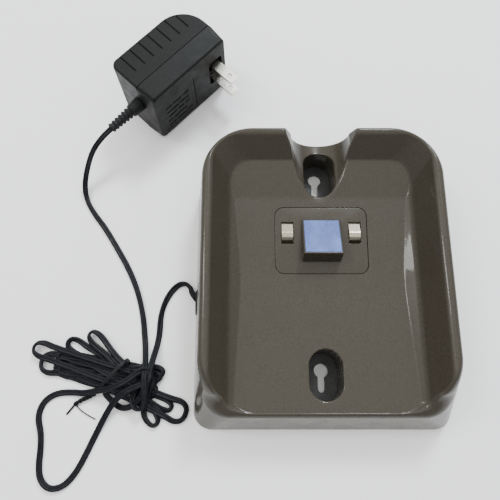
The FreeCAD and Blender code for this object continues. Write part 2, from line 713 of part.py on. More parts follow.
def ramp_frame():
    """Start, direction and normal of the hook's ramp, in the panel's Y and Z."""
    run = HOOK_BACK - HOOK_TIP
    rise = HOOK_HEIGHT - HOOK_BACK_HEIGHT
    size = math.hypot(run, rise)
    return (HOOK_TIP, HOOK_HEIGHT), (run / size, -rise / size), (rise / size, run / size), size


def pad_block(depth, proud):
    start, way, up, size = ramp_frame()
    half = HOOK_WIDTH / 2.0 - PAD_INSET

    def at(along, out):
        return (-half, start[0] + way[0] * along + up[0] * out, start[1] + way[1] * along + up[1] * out)

    points = [at(PAD_INSET, -depth), at(size - PAD_INSET, -depth),
              at(size - PAD_INSET, proud), at(PAD_INSET, proud)]
    return prism(points, (2.0 * half, 0, 0))


def support_hook():
    half = HOOK_WIDTH / 2.0
    profile = [(-half, HOOK_FOOT, 0), (-half, HOOK_BACK, 0), (-half, HOOK_BACK, HOOK_BACK_HEIGHT),
               (-half, HOOK_TIP, HOOK_HEIGHT)]
    hook = prism(profile, (HOOK_WIDTH, 0, 0)).cut(pad_block(PAD_DEPTH, 5.0))
    for side in (-1, 1):
        x = side * HOOK_SCREW_OFFSET
        hook = hook.cut(rod(HOOK_SCREW_RADIUS, (x, 0, 0), (x, 0, HOOK_SCREW_BITE)))
    return in_panel(hook)


def hook_pad():
    return in_panel(pad_block(PAD_DEPTH, PAD_PROUD))


def contact_carrier():
    half = CARRIER_WIDTH / 2.0
    top = -PANEL_THICKNESS
    low = top - CARRIER_DEPTH
    block = box(-half, half, CARRIER_FRONT, CARRIER_BACK, low, top)
    cuts = []
    for side in (-1, 1):
        x = side * WINDOW_OFFSET
        w = WINDOW_WIDTH / 2.0
        y1 = WINDOW_FORWARD + WINDOW_LENGTH / 2.0
        cuts.append(box(x - w, x + w, ROOT_FORWARD, y1, low + POCKET_FLOOR, top + 1.0))
        cuts.append(rod(ROOT_RADIUS + ROOT_CLEAR, (x - w, ROOT_FORWARD, ROOT_DEPTH),
                        (x + w, ROOT_FORWARD, ROOT_DEPTH)))
        s = side * HOOK_SCREW_OFFSET
        cuts.append(rod(HOOK_SCREW_RADIUS, (s, 0, low - 1.0), (s, 0, top + 1.0)))
    return in_panel(block.cut(cuts))


def hook_screws():
    low = -PANEL_THICKNESS - CARRIER_DEPTH
    parts = []
    for side in (-1, 1):
        x = side * HOOK_SCREW_OFFSET
        length = 1.2 - low + HOOK_SCREW_BITE
        parts.append(screw(x, 0, low - 1.2, 2.2, 1.2, HOOK_SCREW_RADIUS, length))
    return in_panel(Part.makeCompound(parts))


def strip_profile():
    """Middle line of a contact strip from its root, in the panel's Y and Z."""
    y0 = ROOT_FORWARD
    z0 = ROOT_DEPTH
    return [(y0, z0), (y0 + 2.8, z0 + 0.3), (y0 + 6.3, z0 + 4.6), (y0 + 8.9, z0 + 4.8), (y0 + 14.4, z0 + 2.5)]


def contact_strip(side):
    x = side * WINDOW_OFFSET - STRIP_WIDTH / 2.0
    middle = strip_profile()
    upper = []
    lower = []
    for i, (y, z) in enumerate(middle):
        before = middle[max(i - 1, 0)]
        after = middle[min(i + 1, len(middle) - 1)]
        run = math.hypot(after[0] - before[0], after[1] - before[1])
        n = (-(after[1] - before[1]) / run, (after[0] - before[0]) / run)
        t = STRIP_THICKNESS / 2.0
        upper.append((x, y + n[0] * t, z + n[1] * t))
        lower.append((x, y - n[0] * t, z - n[1] * t))
    strip = prism(upper + lower[::-1], (STRIP_WIDTH, 0, 0))
    roll = rod(ROOT_RADIUS, (x, ROOT_FORWARD, ROOT_DEPTH), (x + STRIP_WIDTH, ROOT_FORWARD, ROOT_DEPTH))
    return in_panel(strip.fuse(roll).removeSplitter())


# ---- board in the stand ---------------------------------------------------------------------------
def board_top():
    return board_z + BOARD_THICKNESS


def circuit_board():
    half = BOARD_LENGTH / 2.0
    board = box(-half, half, board_y - BOARD_WIDTH / 2.0, board_y + BOARD_WIDTH / 2.0,
                board_z, board_top())
    for x, y in pillar_places():
        board = board.cut(rod(HOOK_SCREW_RADIUS, (x, y, board_z), (x, y, board_top())))
    return board


def board_screws():
    parts = []
    for x, y in pillar_places():
        head = rod(2.2, (x, y, board_top()), (x, y, board_top() + 1.2))
        shank = rod(HOOK_SCREW_RADIUS, (x, y, cover_top + 1.5), (x, y, board_top()))
        parts.append(head.fuse(shank).removeSplitter())
    return Part.makeCompound(parts)


def charge_resistors():
    z = board_top() + 1.3
    parts = [rod(1.3, (-4.0, board_y + dy, z), (4.0, board_y + dy, z)) for dy in (-8.0, -3.6)]
    return Part.makeCompound(parts)


def board_diode():
    z = board_top() + 1.4
    return rod(1.4, (8.0, board_y - 8.0, z), (13.5, board_y - 8.0, z))


def board_capacitor():
    z = board_top() + 2.6
    return rod(2.6, (-4.6, board_y + 9.2, z), (5.4, board_y + 9.2, z))


def cord_terminal():
    x0 = -BOARD_LENGTH / 2.0 + TERMINAL_INSET
    top = board_top() + TERMINAL_HEIGHT
    block = box(x0, x0 + TERMINAL_LENGTH, board_y + TERMINAL_FRONT, board_y + TERMINAL_BACK,
                board_top(), top)
    x = x0 + TERMINAL_LENGTH * 0.6
    screws = [rod(1.2, (x, board_y + dy, top - 1.0), (x, board_y + dy, top + 1.0)) for dy in (-3.6, 1.2)]
    return block.cut(screws)


def contact_lead(side, name):
    low = -PANEL_THICKNESS - CARRIER_DEPTH
    end = in_panel(Part.Vertex(V(side * WINDOW_OFFSET, LEAD_FORWARD, low))).Point
    x = side * (BOARD_LENGTH / 2.0 - LEAD_INSET)
    y = board_y - BOARD_FORWARD + LEAD_FORWARD
    mid = (board_top() + end.z) / 2.0
    points = [(x, y, board_top()), (x, y, mid - 1.0), (end.x, end.y, mid + 0.6), (end.x, end.y, end.z - 0.02)]
    return tube(name, points, 1.2)


# ---- wall adapter ---------------------------------------------------------------------------------
def adapter_plan(inset, z):
    """Rear housing's plan: far corner strongly rounded, near corner lightly."""
    x0 = inset + SEAM_STEP
    x1 = ADAPTER_LENGTH - inset - SEAM_STEP
    y0 = ADAPTER_SEAM
    y1 = ADAPTER_DEPTH - inset
    far = ADAPTER_FAR_RADIUS - inset
    near = max(ADAPTER_NEAR_RADIUS - inset, 1.0)
    f = far * (1.0 - math.sqrt(0.5))
    n = near * (1.0 - math.sqrt(0.5))
    return Part.Wire([
        line((x0, y0, z), (x1, y0, z)),
        line((x1, y0, z), (x1, y1 - far, z)),
        arc((x1, y1 - far, z), (x1 - f, y1 - f, z), (x1 - far, y1, z)),
        line((x1 - far, y1, z), (x0 + near, y1, z)),
        arc((x0 + near, y1, z), (x0 + n, y1 - n, z), (x0, y1 - near, z)),
        line((x0, y1 - near, z), (x0, y0, z)),
    ])


def adapter_front_form(inset):
    """Front housing's form: a rounded block that narrows a little to the blade face."""
    def section(y, draft):
        d = draft + inset
        r = max(ADAPTER_EDGE - inset, 1.0)
        x0, x1, z0, z1 = d, ADAPTER_LENGTH - d, d, ADAPTER_HEIGHT - d
        k = r * (1.0 - math.sqrt(0.5))
        return Part.Wire([
            line((x0 + r, y, z0), (x1 - r, y, z0)),
            arc((x1 - r, y, z0), (x1 - k, y, z0 + k), (x1, y, z0 + r)),
            line((x1, y, z0 + r), (x1, y, z1 - r)),
            arc((x1, y, z1 - r), (x1 - k, y, z1 - k), (x1 - r, y, z1)),
            line((x1 - r, y, z1), (x0 + r, y, z1)),
            arc((x0 + r, y, z1), (x0 + k, y, z1 - k), (x0, y, z1 - r)),
            line((x0, y, z1 - r), (x0, y, z0 + r)),
            arc((x0, y, z0 + r), (x0 + k, y, z0 + k), (x0 + r, y, z0)),
        ])

    return Part.makeLoft([section(inset, ADAPTER_DRAFT), section(ADAPTER_SEAM, 0.0)], True, True)


def boot_room(radius, x0, x1):
    return rod(radius, (x0, ADAPTER_SEAM, BOOT_HEIGHT), (x1, ADAPTER_SEAM, BOOT_HEIGHT))


def blade_heights():
    middle = ADAPTER_HEIGHT / 2.0
    return {"upper": middle + BLADE_SPACING / 2.0, "lower": middle - BLADE_SPACING / 2.0}


def adapter_front_housing():
    shape = adapter_front_form(0.0).cut(adapter_front_form(ADAPTER_WALL))
    cuts = [boot_room(BOOT_COLLAR_RADIUS - 0.6, -1.0, 6.0)]
    for z in blade_heights().values():
        w = BLADE_WIDTH / 2.0
        t = BLADE_THICKNESS / 2.0
        cuts.append(box(BLADE_ALONG - w, BLADE_ALONG + w, -1.0, BLADE_IN, z - t, z + t))
    return in_adapter(shape.cut(cuts))


def adapter_rear_housing():
    z0 = SEAM_STEP
    z1 = ADAPTER_HEIGHT - SEAM_STEP
    shape = Part.Face(adapter_plan(0.0, z0)).extrude(V(0, 0, z1 - z0))
    level = [e for e in shape.Edges if e.BoundBox.ZLength < 1e-6 and e.BoundBox.YMax > ADAPTER_SEAM + 0.1]
    shape = shape.makeFillet(2.0, level)
    room = Part.Face(adapter_plan(ADAPTER_WALL, z0 + ADAPTER_WALL))
    room = room.extrude(V(0, 0, z1 - z0 - 2.0 * ADAPTER_WALL))
    cuts = [room, boot_room(BOOT_COLLAR_RADIUS - 0.6, -1.0, 6.0)]
    for i in range(RIB_COUNT):
        x = RIB_FIRST + RIB_PITCH * i
        y0 = ADAPTER_DEPTH - RIB_REACH
        far = box(x, x + RIB_GROOVE, ADAPTER_DEPTH - RIB_DEPTH, ADAPTER_DEPTH + 1.0, 0, ADAPTER_HEIGHT)
        cuts.append(far)
        cuts.append(box(x, x + RIB_GROOVE, y0, ADAPTER_DEPTH + 1.0, z1 - RIB_DEPTH, z1 + 1.0))
        cuts.append(box(x, x + RIB_GROOVE, y0, ADAPTER_DEPTH + 1.0, z0 - 1.0, z0 + RIB_DEPTH))
    return in_adapter(shape.cut(cuts))


def plug_blade(which):
    z = blade_heights()[which]
    w = BLADE_WIDTH / 2.0
    t = BLADE_THICKNESS / 2.0
    blade = box(BLADE_ALONG - w, BLADE_ALONG + w, -BLADE_OUT, BLADE_IN, z - t, z + t)
    tip = [e for e in blade.Edges if e.BoundBox.YMax < -BLADE_OUT + 1e-6 and e.BoundBox.XLength < 1e-6]
    blade = blade.makeFillet(1.4, tip)
    hole = rod(BLADE_HOLE, (BLADE_ALONG, -BLADE_HOLE_OUT, z - 2), (BLADE_ALONG, -BLADE_HOLE_OUT, z + 2))
    return in_adapter(blade.cut(hole))


def adapter_boot():
    def disc(radius, x0, x1):
        return boot_room(radius, x0, x1)

    neck = BOOT_COLLAR_RADIUS - 0.6
    inside = ADAPTER_WALL + 0.5
    parts = [disc(BOOT_COLLAR_RADIUS + 0.8, inside, inside + BOOT_FLANGE), disc(neck, 0.0, inside)]
    collar = Part.makeCone(BOOT_COLLAR_RADIUS - 0.8, BOOT_COLLAR_RADIUS, BOOT_COLLAR,
                           V(-BOOT_COLLAR, ADAPTER_SEAM, BOOT_HEIGHT), V(1, 0, 0))
    parts.append(collar)
    parts.append(disc(BOOT_CORE_RADIUS, -BOOT_LENGTH, -BOOT_COLLAR))
    pitch = (BOOT_LENGTH - BOOT_COLLAR) / BOOT_RIBS
    for i in range(BOOT_RIBS):
        x = -BOOT_LENGTH + pitch * i
        parts.append(disc(BOOT_RIB_RADIUS, x, x + pitch * 0.55))
    boot = parts[0].fuse(parts[1:]).removeSplitter()
    bore = disc(CORD_WIDTH / 2.0 + BORE_CLEAR, -BOOT_LENGTH - 1.0, inside + BOOT_FLANGE + 1.0)
    return in_adapter(boot.cut(bore))


def core_box(grow=0.0):
    x0 = CORE_START
    z0 = (ADAPTER_HEIGHT - CORE_HEIGHT) / 2.0
    y0 = CORE_FORWARD - CORE_STACK / 2.0
    return x0, x0 + CORE_LENGTH, y0, y0 + CORE_STACK, z0, z0 + CORE_HEIGHT


def leg_span():
    x0, x1 = core_box()[0:2]
    middle = (x0 + x1) / 2.0
    return middle - CORE_LEG / 2.0, middle + CORE_LEG / 2.0


def transformer_core():
    x0, x1, y0, y1, z0, z1 = core_box()
    leg0, leg1 = leg_span()
    core = box(x0, x1, y0, y1, z0, z1)
    first = box(x0 + CORE_YOKE, leg0, y0 - 1, y1 + 1, z0 + CORE_YOKE, z1 - CORE_YOKE)
    second = box(leg1, x1 - CORE_YOKE, y0 - 1, y1 + 1, z0 + CORE_YOKE, z1 - CORE_YOKE)
    return in_adapter(core.cut([first, second]))


def ring(grow_in, grow_out, z0, z1):
    """Square ring round the core's middle leg."""
    x0, x1, y0, y1 = core_box()[0:4]
    leg0, leg1 = leg_span()
    outer = box(leg0 - grow_out, leg1 + grow_out, y0 - grow_out, y1 + grow_out, z0, z1)
    return outer.cut(box(leg0 - grow_in, leg1 + grow_in, y0 - grow_in, y1 + grow_in, z0 - 1, z1 + 1))


def bobbin_levels():
    z0 = core_box()[4] + CORE_YOKE + BOBBIN_CLEAR
    z1 = core_box()[5] - CORE_YOKE - BOBBIN_CLEAR
    return z0, (z0 + z1) / 2.0, z1


def transformer_bobbin():
    z0, middle, z1 = bobbin_levels()
    outer = BOBBIN_CLEAR + BOBBIN_WALL
    flange = outer + WINDING_THICKNESS + 0.2
    parts = [ring(BOBBIN_CLEAR, outer, z0, z1)]
    for z in (z0, middle - BOBBIN_WALL / 2.0, z1 - BOBBIN_WALL):
        parts.append(ring(BOBBIN_CLEAR, flange, z, z + BOBBIN_WALL))
    return in_adapter(parts[0].fuse(parts[1:]).removeSplitter())


def winding(lower):
    z0, middle, z1 = bobbin_levels()
    inner = BOBBIN_CLEAR + BOBBIN_WALL
    low = z0 + BOBBIN_WALL if lower else middle + BOBBIN_WALL / 2.0
    high = middle - BOBBIN_WALL / 2.0 if lower else z1 - BOBBIN_WALL
    return in_adapter(ring(inner, inner + WINDING_THICKNESS, low, high))


def thermal_fuse():
    y = core_box()[2] - BOBBIN_CLEAR - BOBBIN_WALL - WINDING_THICKNESS - 1.0
    z = bobbin_levels()[0] + 4.0
    return in_adapter(rod(1.0, (leg_span()[0], y, z), (leg_span()[1] - 2.0, y, z)))


def adapter_board():
    return in_adapter(box(6.6, 8.2, 7.0, 29.0, 6.0, 40.0).cut(boot_room(3.0, 5.0, 9.0)))


def rectifier_diodes():
    parts = [rod(0.8, (9.0, 23.0, z), (9.0, 28.0, z)) for z in (10.0, 16.0, 22.0, 36.0)]
    return in_adapter(Part.makeCompound(parts))


def smoothing_capacitor():
    x = ADAPTER_LENGTH - ADAPTER_WALL - SEAM_STEP - 5.4
    return in_adapter(rod(4.6, (x, 14.6, 8.0), (x, 14.6, 24.0)))


def blade_leads():
    """Wires from the blades' roots to the primary winding: one bent, one straight."""
    x0 = BLADE_ALONG - BLADE_WIDTH / 2.0
    x1 = leg_span()[1] + BOBBIN_CLEAR + BOBBIN_WALL + WINDING_THICKNESS
    y = BLADE_IN - BLADE_LEAD
    middle = (x0 + x1) / 2.0
    z = blade_heights()
    goal = bobbin_levels()[1] - BOBBIN_WALL - 2.0 * BLADE_LEAD
    points = [(x0, y, z["upper"]), (middle, y, z["upper"]), (middle, y, goal), (x1, y, goal)]
    bent = tube("blade lead", points, BLADE_LEAD)
    straight = rod(BLADE_LEAD / 2.0, (x0, y, z["lower"]), (x1, y, z["lower"]))
    return in_adapter(Part.makeCompound([bent, straight]))


# ---- free cord and its tie ------------------------------------------------------------------------
def cradle_route():
    start = V(*exit_point())
    first = start + exit_way() * EXIT_RUN
    return [tuple(start), tuple(first)] + CRADLE_LEAD


def tie_frame():
    dx = TIE_END[0] - TIE_START[0]
    dy = TIE_END[1] - TIE_START[1]
    return math.hypot(dx, dy), math.degrees(math.atan2(dy, dx))


def tie_block(grow, z0, z1):
    size, turn = tie_frame()
    half = TIE_WIDTH / 2.0
    block = box(-grow, size + grow, -half, half, z0, z1)
    block.rotate(V(0, 0, 0), V(0, 0, 1), turn)
    block.translate(V(TIE_START[0], TIE_START[1], 0))
    return block


def twist_tie():
    strap = tie_block(TIE_THICKNESS, 0.0, HANK_HEIGHT + TIE_THICKNESS)
    strap = strap.cut(tie_block(0.0, -1.0, HANK_HEIGHT))
    tail = tube("twist_tie tail", TIE_TAIL, 1.6)
    return strap.fuse(tail)


def cord_hank():
    body = flat_block(HANK_OUTLINE, HANK_HEIGHT)
    loops = [UP_LOOP_OUTLINE, RIGHT_LOOP_OUTLINE, LOW_LOOP_OUTLINE, STUB_OUTLINE]
    body = body.fuse([flat_block(points, LOOP_HEIGHT) for points in loops]).removeSplitter()
    strap = tie_block(20.0, -1.0, HANK_HEIGHT + 5.0).cut(tie_block(0.0, -2.0, HANK_HEIGHT))
    return body.cut(strap)


# ---- every node -----------------------------------------------------------------------------------
NODES = {
    "cradle_shell": cradle_shell,
    "base_cover": base_cover,
    "cover_screws": cover_screws,
    "rubber_feet": rubber_feet,
    "cable_grommet": cable_grommet,
    "cord_inside": cord_inside,
    "cord_clamp": cord_clamp,
    "clamp_screws": clamp_screws,
    "contact_panel": contact_panel,
    "support_hook": support_hook,
    "hook_pad": hook_pad,
    "hook_screws": hook_screws,
    "contact_carrier": contact_carrier,
    "contact_left": lambda: contact_strip(-1),
    "contact_right": lambda: contact_strip(1),
    "circuit_board": circuit_board,
    "board_screws": board_screws,
    "charge_resistors": charge_resistors,
    "board_diode": board_diode,
    "board_capacitor": board_capacitor,
    "cord_terminal": cord_terminal,
    "lead_left": lambda: contact_lead(-1, "lead_left"),
    "lead_right": lambda: contact_lead(1, "lead_right"),
    "adapter_front_housing": adapter_front_housing,
    "adapter_rear_housing": adapter_rear_housing,
    "blade_upper": lambda: plug_blade("upper"),
    "blade_lower": lambda: plug_blade("lower"),
    "adapter_boot": adapter_boot,
    "transformer_core": transformer_core,
    "transformer_bobbin": transformer_bobbin,
    "primary_winding": lambda: winding(True),
    "secondary_winding": lambda: winding(False),
    "thermal_fuse": thermal_fuse,
    "adapter_board": adapter_board,
    "rectifier_diodes": rectifier_diodes,
    "smoothing_capacitor": smoothing_capacitor,
    "blade_leads": blade_leads,
    "cord_to_adapter": lambda: tube("cord_to_adapter", ADAPTER_LEAD, CORD_WIDTH),
    "cord_to_cradle": lambda: tube("cord_to_cradle", cradle_route(), CORD_WIDTH),
    "cord_big_loop": lambda: tube("cord_big_loop", BIG_LOOP, CORD_WIDTH),
    "cord_hank": cord_hank,
    "twist_tie": twist_tie,
}

os.makedirs("parts", exist_ok=True)
for node, make in NODES.items():
    shape = make()
    shape.exportStep("parts/" + node + ".step")
    state = "valid" if shape.isValid() else "NOT VALID"
    print(node, state, "solids", len(shape.Solids), "volume", round(shape.Volume, 1))
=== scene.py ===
# %% [markdown]
# # A charging stand, drawn around its CAD model
# The stand is a glossy moulded tray with a sprung contact on each side of a hook. A wall adapter
# feeds it through a thin flat cord, most of which is still in its factory hank. The CAD model fixes
# where everything is; this script gives each visible piece its final mesh and finish around it.

# %% Load the CAD model
import bpy
import json
import math
import time
import numpy as np
from mathutils import Matrix, Vector


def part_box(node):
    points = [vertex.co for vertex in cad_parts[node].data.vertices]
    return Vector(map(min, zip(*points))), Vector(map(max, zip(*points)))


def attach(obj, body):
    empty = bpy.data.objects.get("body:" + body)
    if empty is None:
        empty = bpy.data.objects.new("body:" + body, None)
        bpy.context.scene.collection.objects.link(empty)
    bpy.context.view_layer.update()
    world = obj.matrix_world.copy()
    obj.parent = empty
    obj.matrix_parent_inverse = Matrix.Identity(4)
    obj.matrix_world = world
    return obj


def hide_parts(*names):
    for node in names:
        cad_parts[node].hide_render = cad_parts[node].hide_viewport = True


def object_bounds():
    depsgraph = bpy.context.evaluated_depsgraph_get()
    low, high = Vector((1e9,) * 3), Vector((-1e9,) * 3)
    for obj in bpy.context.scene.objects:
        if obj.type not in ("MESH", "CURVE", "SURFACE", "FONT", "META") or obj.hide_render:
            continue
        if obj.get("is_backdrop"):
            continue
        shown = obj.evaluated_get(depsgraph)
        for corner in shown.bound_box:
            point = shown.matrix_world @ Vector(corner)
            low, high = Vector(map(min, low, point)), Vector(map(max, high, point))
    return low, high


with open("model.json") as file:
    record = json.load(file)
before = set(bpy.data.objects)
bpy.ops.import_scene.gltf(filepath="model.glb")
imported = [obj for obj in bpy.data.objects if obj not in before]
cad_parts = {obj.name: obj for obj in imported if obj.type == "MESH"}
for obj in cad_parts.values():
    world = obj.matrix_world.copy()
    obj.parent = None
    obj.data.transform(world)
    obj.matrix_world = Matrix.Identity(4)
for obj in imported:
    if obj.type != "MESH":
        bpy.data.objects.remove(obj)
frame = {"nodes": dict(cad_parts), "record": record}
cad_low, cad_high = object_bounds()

MM = 0.001
started = time.time()
print("CAD box in mm", [round(v / MM, 1) for v in (*cad_low, *cad_high)])

# %% [markdown]
# ## Camera
# The camera looks down on the table from a little in front of the stand, tipped back by sixteen
# degrees, so that the front apron shows and the back wall leans away. A slightly wide lens keeps the
# perspective of a hand-held picture: high pieces, such as the adapter, look larger than low ones.

# %% Camera
CAMERA_PLACE = (-39.9, -74.5, 326.0)
CAMERA_TILT = 16.5
SENSOR = 36.0
FOCAL_SHARE = 1.124                 # focal length over the width of the frame

camera_data = bpy.data.cameras.new("table_camera")
camera_data.sensor_width = SENSOR
camera_data.lens = SENSOR * FOCAL_SHARE
camera_data.clip_start = 0.01
camera = bpy.data.objects.new("table_camera", camera_data)
camera.location = Vector(CAMERA_PLACE) * MM
camera.rotation_euler = (math.radians(CAMERA_TILT), 0.0, 0.0)
bpy.context.scene.collection.objects.link(camera)
bpy.context.scene.camera = camera
print("lens", round(camera_data.lens, 1), "mm")

# %% [markdown]
# ## Mesh and curve helpers
# Every shape here is worked out in millimetres and turned into metres once, when its mesh is made.
# `settle_object` puts a new piece on the body that it moves with, and names its finish.

# %% Mesh helpers
def new_object(name, verts, faces, smooth=True):
    """A mesh object from points in millimetres."""
    mesh = bpy.data.meshes.new(name)
    mesh.from_pydata([tuple(c * MM for c in v) for v in verts], [], [tuple(f) for f in faces])
    mesh.polygons.foreach_set("use_smooth", [smooth] * len(mesh.polygons))
    mesh.update()
    piece = bpy.data.objects.new(name, mesh)
    bpy.context.scene.collection.objects.link(piece)
    return piece


def settle_object(piece, finish, body="stand", stands_for=()):
    """Rides on a body, shows its finish, and stands for the CAD nodes it replaces."""
    piece.data.materials.clear()
    piece.data.materials.append(finish)
    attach(piece, body)
    if stands_for:
        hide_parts(*stands_for)
    print(piece.name, len(piece.data.polygons), "faces")
    return piece


def apply_modifiers(piece):
    """Bakes a piece's modifiers into its mesh."""
    graph = bpy.context.evaluated_depsgraph_get()
    mesh = bpy.data.meshes.new_from_object(piece.evaluated_get(graph))
    piece.modifiers.clear()
    piece.data = mesh
    return piece


def bevel(piece, width, segments=3, angle=35.0):
    """Rounds the sharp edges; width in millimetres."""
    tool = piece.modifiers.new("edge", "BEVEL")
    tool.width = width * MM
    tool.segments = segments
    tool.limit_method = "ANGLE"
    tool.angle_limit = math.radians(angle)
    tool.harden_normals = True
    return apply_modifiers(piece)


def crisp(piece, angle=32.0):
    """Flat faces stay flat and edges sharper than the angle stay sharp."""
    for face in piece.data.polygons:
        face.use_smooth = True
    piece.data.set_sharp_from_angle(angle=math.radians(angle))
    weights = piece.modifiers.new("weights", "WEIGHTED_NORMAL")
    weights.keep_sharp = True
    weights.weight = 100
    return apply_modifiers(piece)


def carve(piece, *cutters):
    """Cuts other meshes out of a piece, then deletes them."""
    for cutter in cutters:
        tool = piece.modifiers.new("cut", "BOOLEAN")
        tool.operation = "DIFFERENCE"
        tool.solver = "MANIFOLD"
        tool.object = cutter
        apply_modifiers(piece)
        bpy.data.objects.remove(cutter)
    return piece

# %% [markdown]
# ## Floor, light and sky
# Most of the light is the sky, brightest overhead and a little behind the stand, and dimmest near the
# horizon, so that steep walls go darker than the tray's floor. Two lamps draw highlights along the
# creases: a cool window behind the stand, which throws the hook's short shadow towards the front, and
# a narrow lamp on the left, whose reflection runs down the crease on the tray's right.

# %% Floor and lights
SKY_HEADING = (0.0, 0.34, 0.94)      # from the stand towards the brightest part of the sky
SKY_STRENGTH = 2.1
SKY_DIM = (0.34, 0.345, 0.36)
SKY_BRIGHT = (1.0, 0.99, 0.97)
WINDOW_HEADING = (0.20, 0.64, 0.74)
WINDOW_POWER, WINDOW_WIDTH, WINDOW_HEIGHT = 14.0, 0.22, 0.3
WINDOW_COLOUR = (0.86, 0.93, 1.0)
LAMP_HEADING = (-0.53, 0.23, 0.83)
LAMP_POWER, LAMP_WIDTH, LAMP_HEIGHT = 5.0, 0.10, 0.5
LAMP_COLOUR = (1.0, 0.99, 0.96)
LIGHT_REACH = 1.3                    # metres from the stand to either lamp


def area_light(name, heading, width, height, power, colour):
    """Rectangular light that faces the stand from one heading."""
    data = bpy.data.lights.new(name, "AREA")
    data.shape = "RECTANGLE"
    data.size = width
    data.size_y = height
    data.energy = power
    data.color = colour
    lamp = bpy.data.objects.new(name, data)
    lamp.location = tuple(LIGHT_REACH * c for c in heading)
    lamp.rotation_euler = Vector(lamp.location).to_track_quat("Z", "Y").to_euler()
    bpy.context.scene.collection.objects.link(lamp)


def floor_finish():
    finish = bpy.data.materials.new("table_white")
    finish.use_nodes = True
    shader = finish.node_tree.nodes["Principled BSDF"]
    shader.inputs["Base Color"].default_value = (0.93, 0.93, 0.93, 1.0)
    shader.inputs["Roughness"].default_value = 0.9
    shader.inputs["Specular IOR Level"].default_value = 0.1
    return finish


table = new_object("table", [(-4000, -4000, 0), (4000, -4000, 0), (4000, 4000, 0), (-4000, 4000, 0)],
                   [(0, 1, 2, 3)], smooth=False)
table.data.materials.append(floor_finish())
table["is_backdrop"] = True

area_light("window", WINDOW_HEADING, WINDOW_WIDTH, WINDOW_HEIGHT, WINDOW_POWER, WINDOW_COLOUR)
area_light("side_lamp", LAMP_HEADING, LAMP_WIDTH, LAMP_HEIGHT, LAMP_POWER, LAMP_COLOUR)


def room_light():
    """Brightest along SKY_HEADING, and dimmer the further a direction is from it."""
    sky = bpy.data.worlds.new("room")
    sky.use_nodes = True
    nodes, links = sky.node_tree.nodes, sky.node_tree.links
    where = nodes.new("ShaderNodeTexCoord")
    toward = nodes.new("ShaderNodeVectorMath")
    toward.operation = "DOT_PRODUCT"
    toward.inputs[1].default_value = SKY_HEADING
    ramp = nodes.new("ShaderNodeValToRGB")
    ramp.color_ramp.elements[0].position = 0.35
    ramp.color_ramp.elements[0].color = (*SKY_DIM, 1.0)
    ramp.color_ramp.elements[1].position = 0.95
    ramp.color_ramp.elements[1].color = (*SKY_BRIGHT, 1.0)
    links.new(where.outputs["Generated"], toward.inputs[0])
    links.new(toward.outputs["Value"], ramp.inputs["Fac"])
    links.new(ramp.outputs["Color"], nodes["Background"].inputs["Color"])
    nodes["Background"].inputs["Strength"].default_value = SKY_STRENGTH
    return sky


bpy.context.scene.world = room_light()

# %% [markdown]
# ## Stand shell: one formula instead of many patches
# The real shell is a single moulding whose walls, floor, rim and trough run into each other through
# fillets. Stitching fillets between patches is slow work, so the form is written as a distance
# formula: negative inside the plastic, positive outside. Two forms meet in a rounded edge through
# `meet`, and the mesh is then grown on the formula's zero surface and pulled exactly onto it.

# %% Distance helpers
def meet(a, b, radius):
    """Inside both forms, with their shared edge rounded."""
    flat = np.minimum(np.maximum(a, b), -radius)
    return flat + np.hypot(np.maximum(a + radius, 0.0), np.maximum(b + radius, 0.0))


def soften(a, b, width):
    """Inside both forms, with a shallow crease smoothed where they differ by less than width."""
    blend = np.maximum(width - np.abs(a - b), 0.0) / width
    return np.maximum(a, b) + blend ** 2 * width / 4.0


def plate_distance(x, y, half, front, back, front_radius, back_radius):
    """Distance in plan to a plate with its own corner radius at the front and at the back."""
    middle = (front + back) / 2.0
    radius = np.where(y < middle, front_radius, back_radius)
    across = np.abs(x) - half + radius
    along = np.abs(y - middle) - (back - front) / 2.0 + radius
    inner = np.minimum(np.maximum(across, along), 0.0)
    return inner + np.hypot(np.maximum(across, 0.0), np.maximum(along, 0.0)) - radius


def oval_distance(x, y, radius, front, back):
    """Distance in plan to a slot with round ends."""
    reach = np.clip(y, front + radius, back - radius)
    return np.hypot(x, y - reach) - radius


# %% [markdown]
# The sizes come from the CAD stand. Its box gives the footprint and the rim; the rest are the
# moulding's own slopes and radii, which are the same values that the CAD model is driven by.

# %% Stand sizes
stand_low, stand_high = (Vector(c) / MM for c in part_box("cradle_shell"))
HALF = (stand_high.x - stand_low.x) / 2.0
FRONT = stand_low.y
BACK = stand_high.y
SKIRT = stand_low.z
RIM = stand_high.z
SIDE_FLARE, FRONT_FLARE, BACK_FLARE = 5.3, 11.2, 0.6
LIP = 27.4
DROP_START, DROP_END = FRONT + 29.5, FRONT + 4.5
WALL = 2.4
TRAY_FRONT = FRONT + 8.7
SIDE_SLOPE, BACK_SLOPE = 0.57, 0.94
KNEE_HEIGHT, KNEE_RUN = 4.4, 7.4
WAIST_Y, RAMP_Y, KINK_Y = BACK - 81.5, BACK - 36.5, BACK - 15.5
WAIST, RAMP, KINK, FLOOR_FRONT = 24.5, 27.0, 33.0, 27.0
TROUGH_RADIUS, TROUGH_BOTTOM, NOTCH_FLARE = 16.5, 20.0, 0.47
WELL_RADIUS = 8.75
UPPER_WELL = (BACK - 35.75, BACK - 6.25)
LOWER_WELL = (FRONT + 14.55, FRONT + 41.05)
PANEL_Y = BACK - 61.3
PANEL_RISE = math.atan((RAMP - WAIST) / (RAMP_Y - WAIST_Y))
PANEL_Z = WAIST + math.tan(PANEL_RISE) * (PANEL_Y - WAIST_Y)
PANEL_HALF, PANEL_LONG, PANEL_CORNER, PANEL_THICK = 25.8, 19.1, 5.0, 2.4
print("stand", round(2 * HALF, 1), "x", round(BACK - FRONT, 1), "x", round(RIM, 1), "mm")


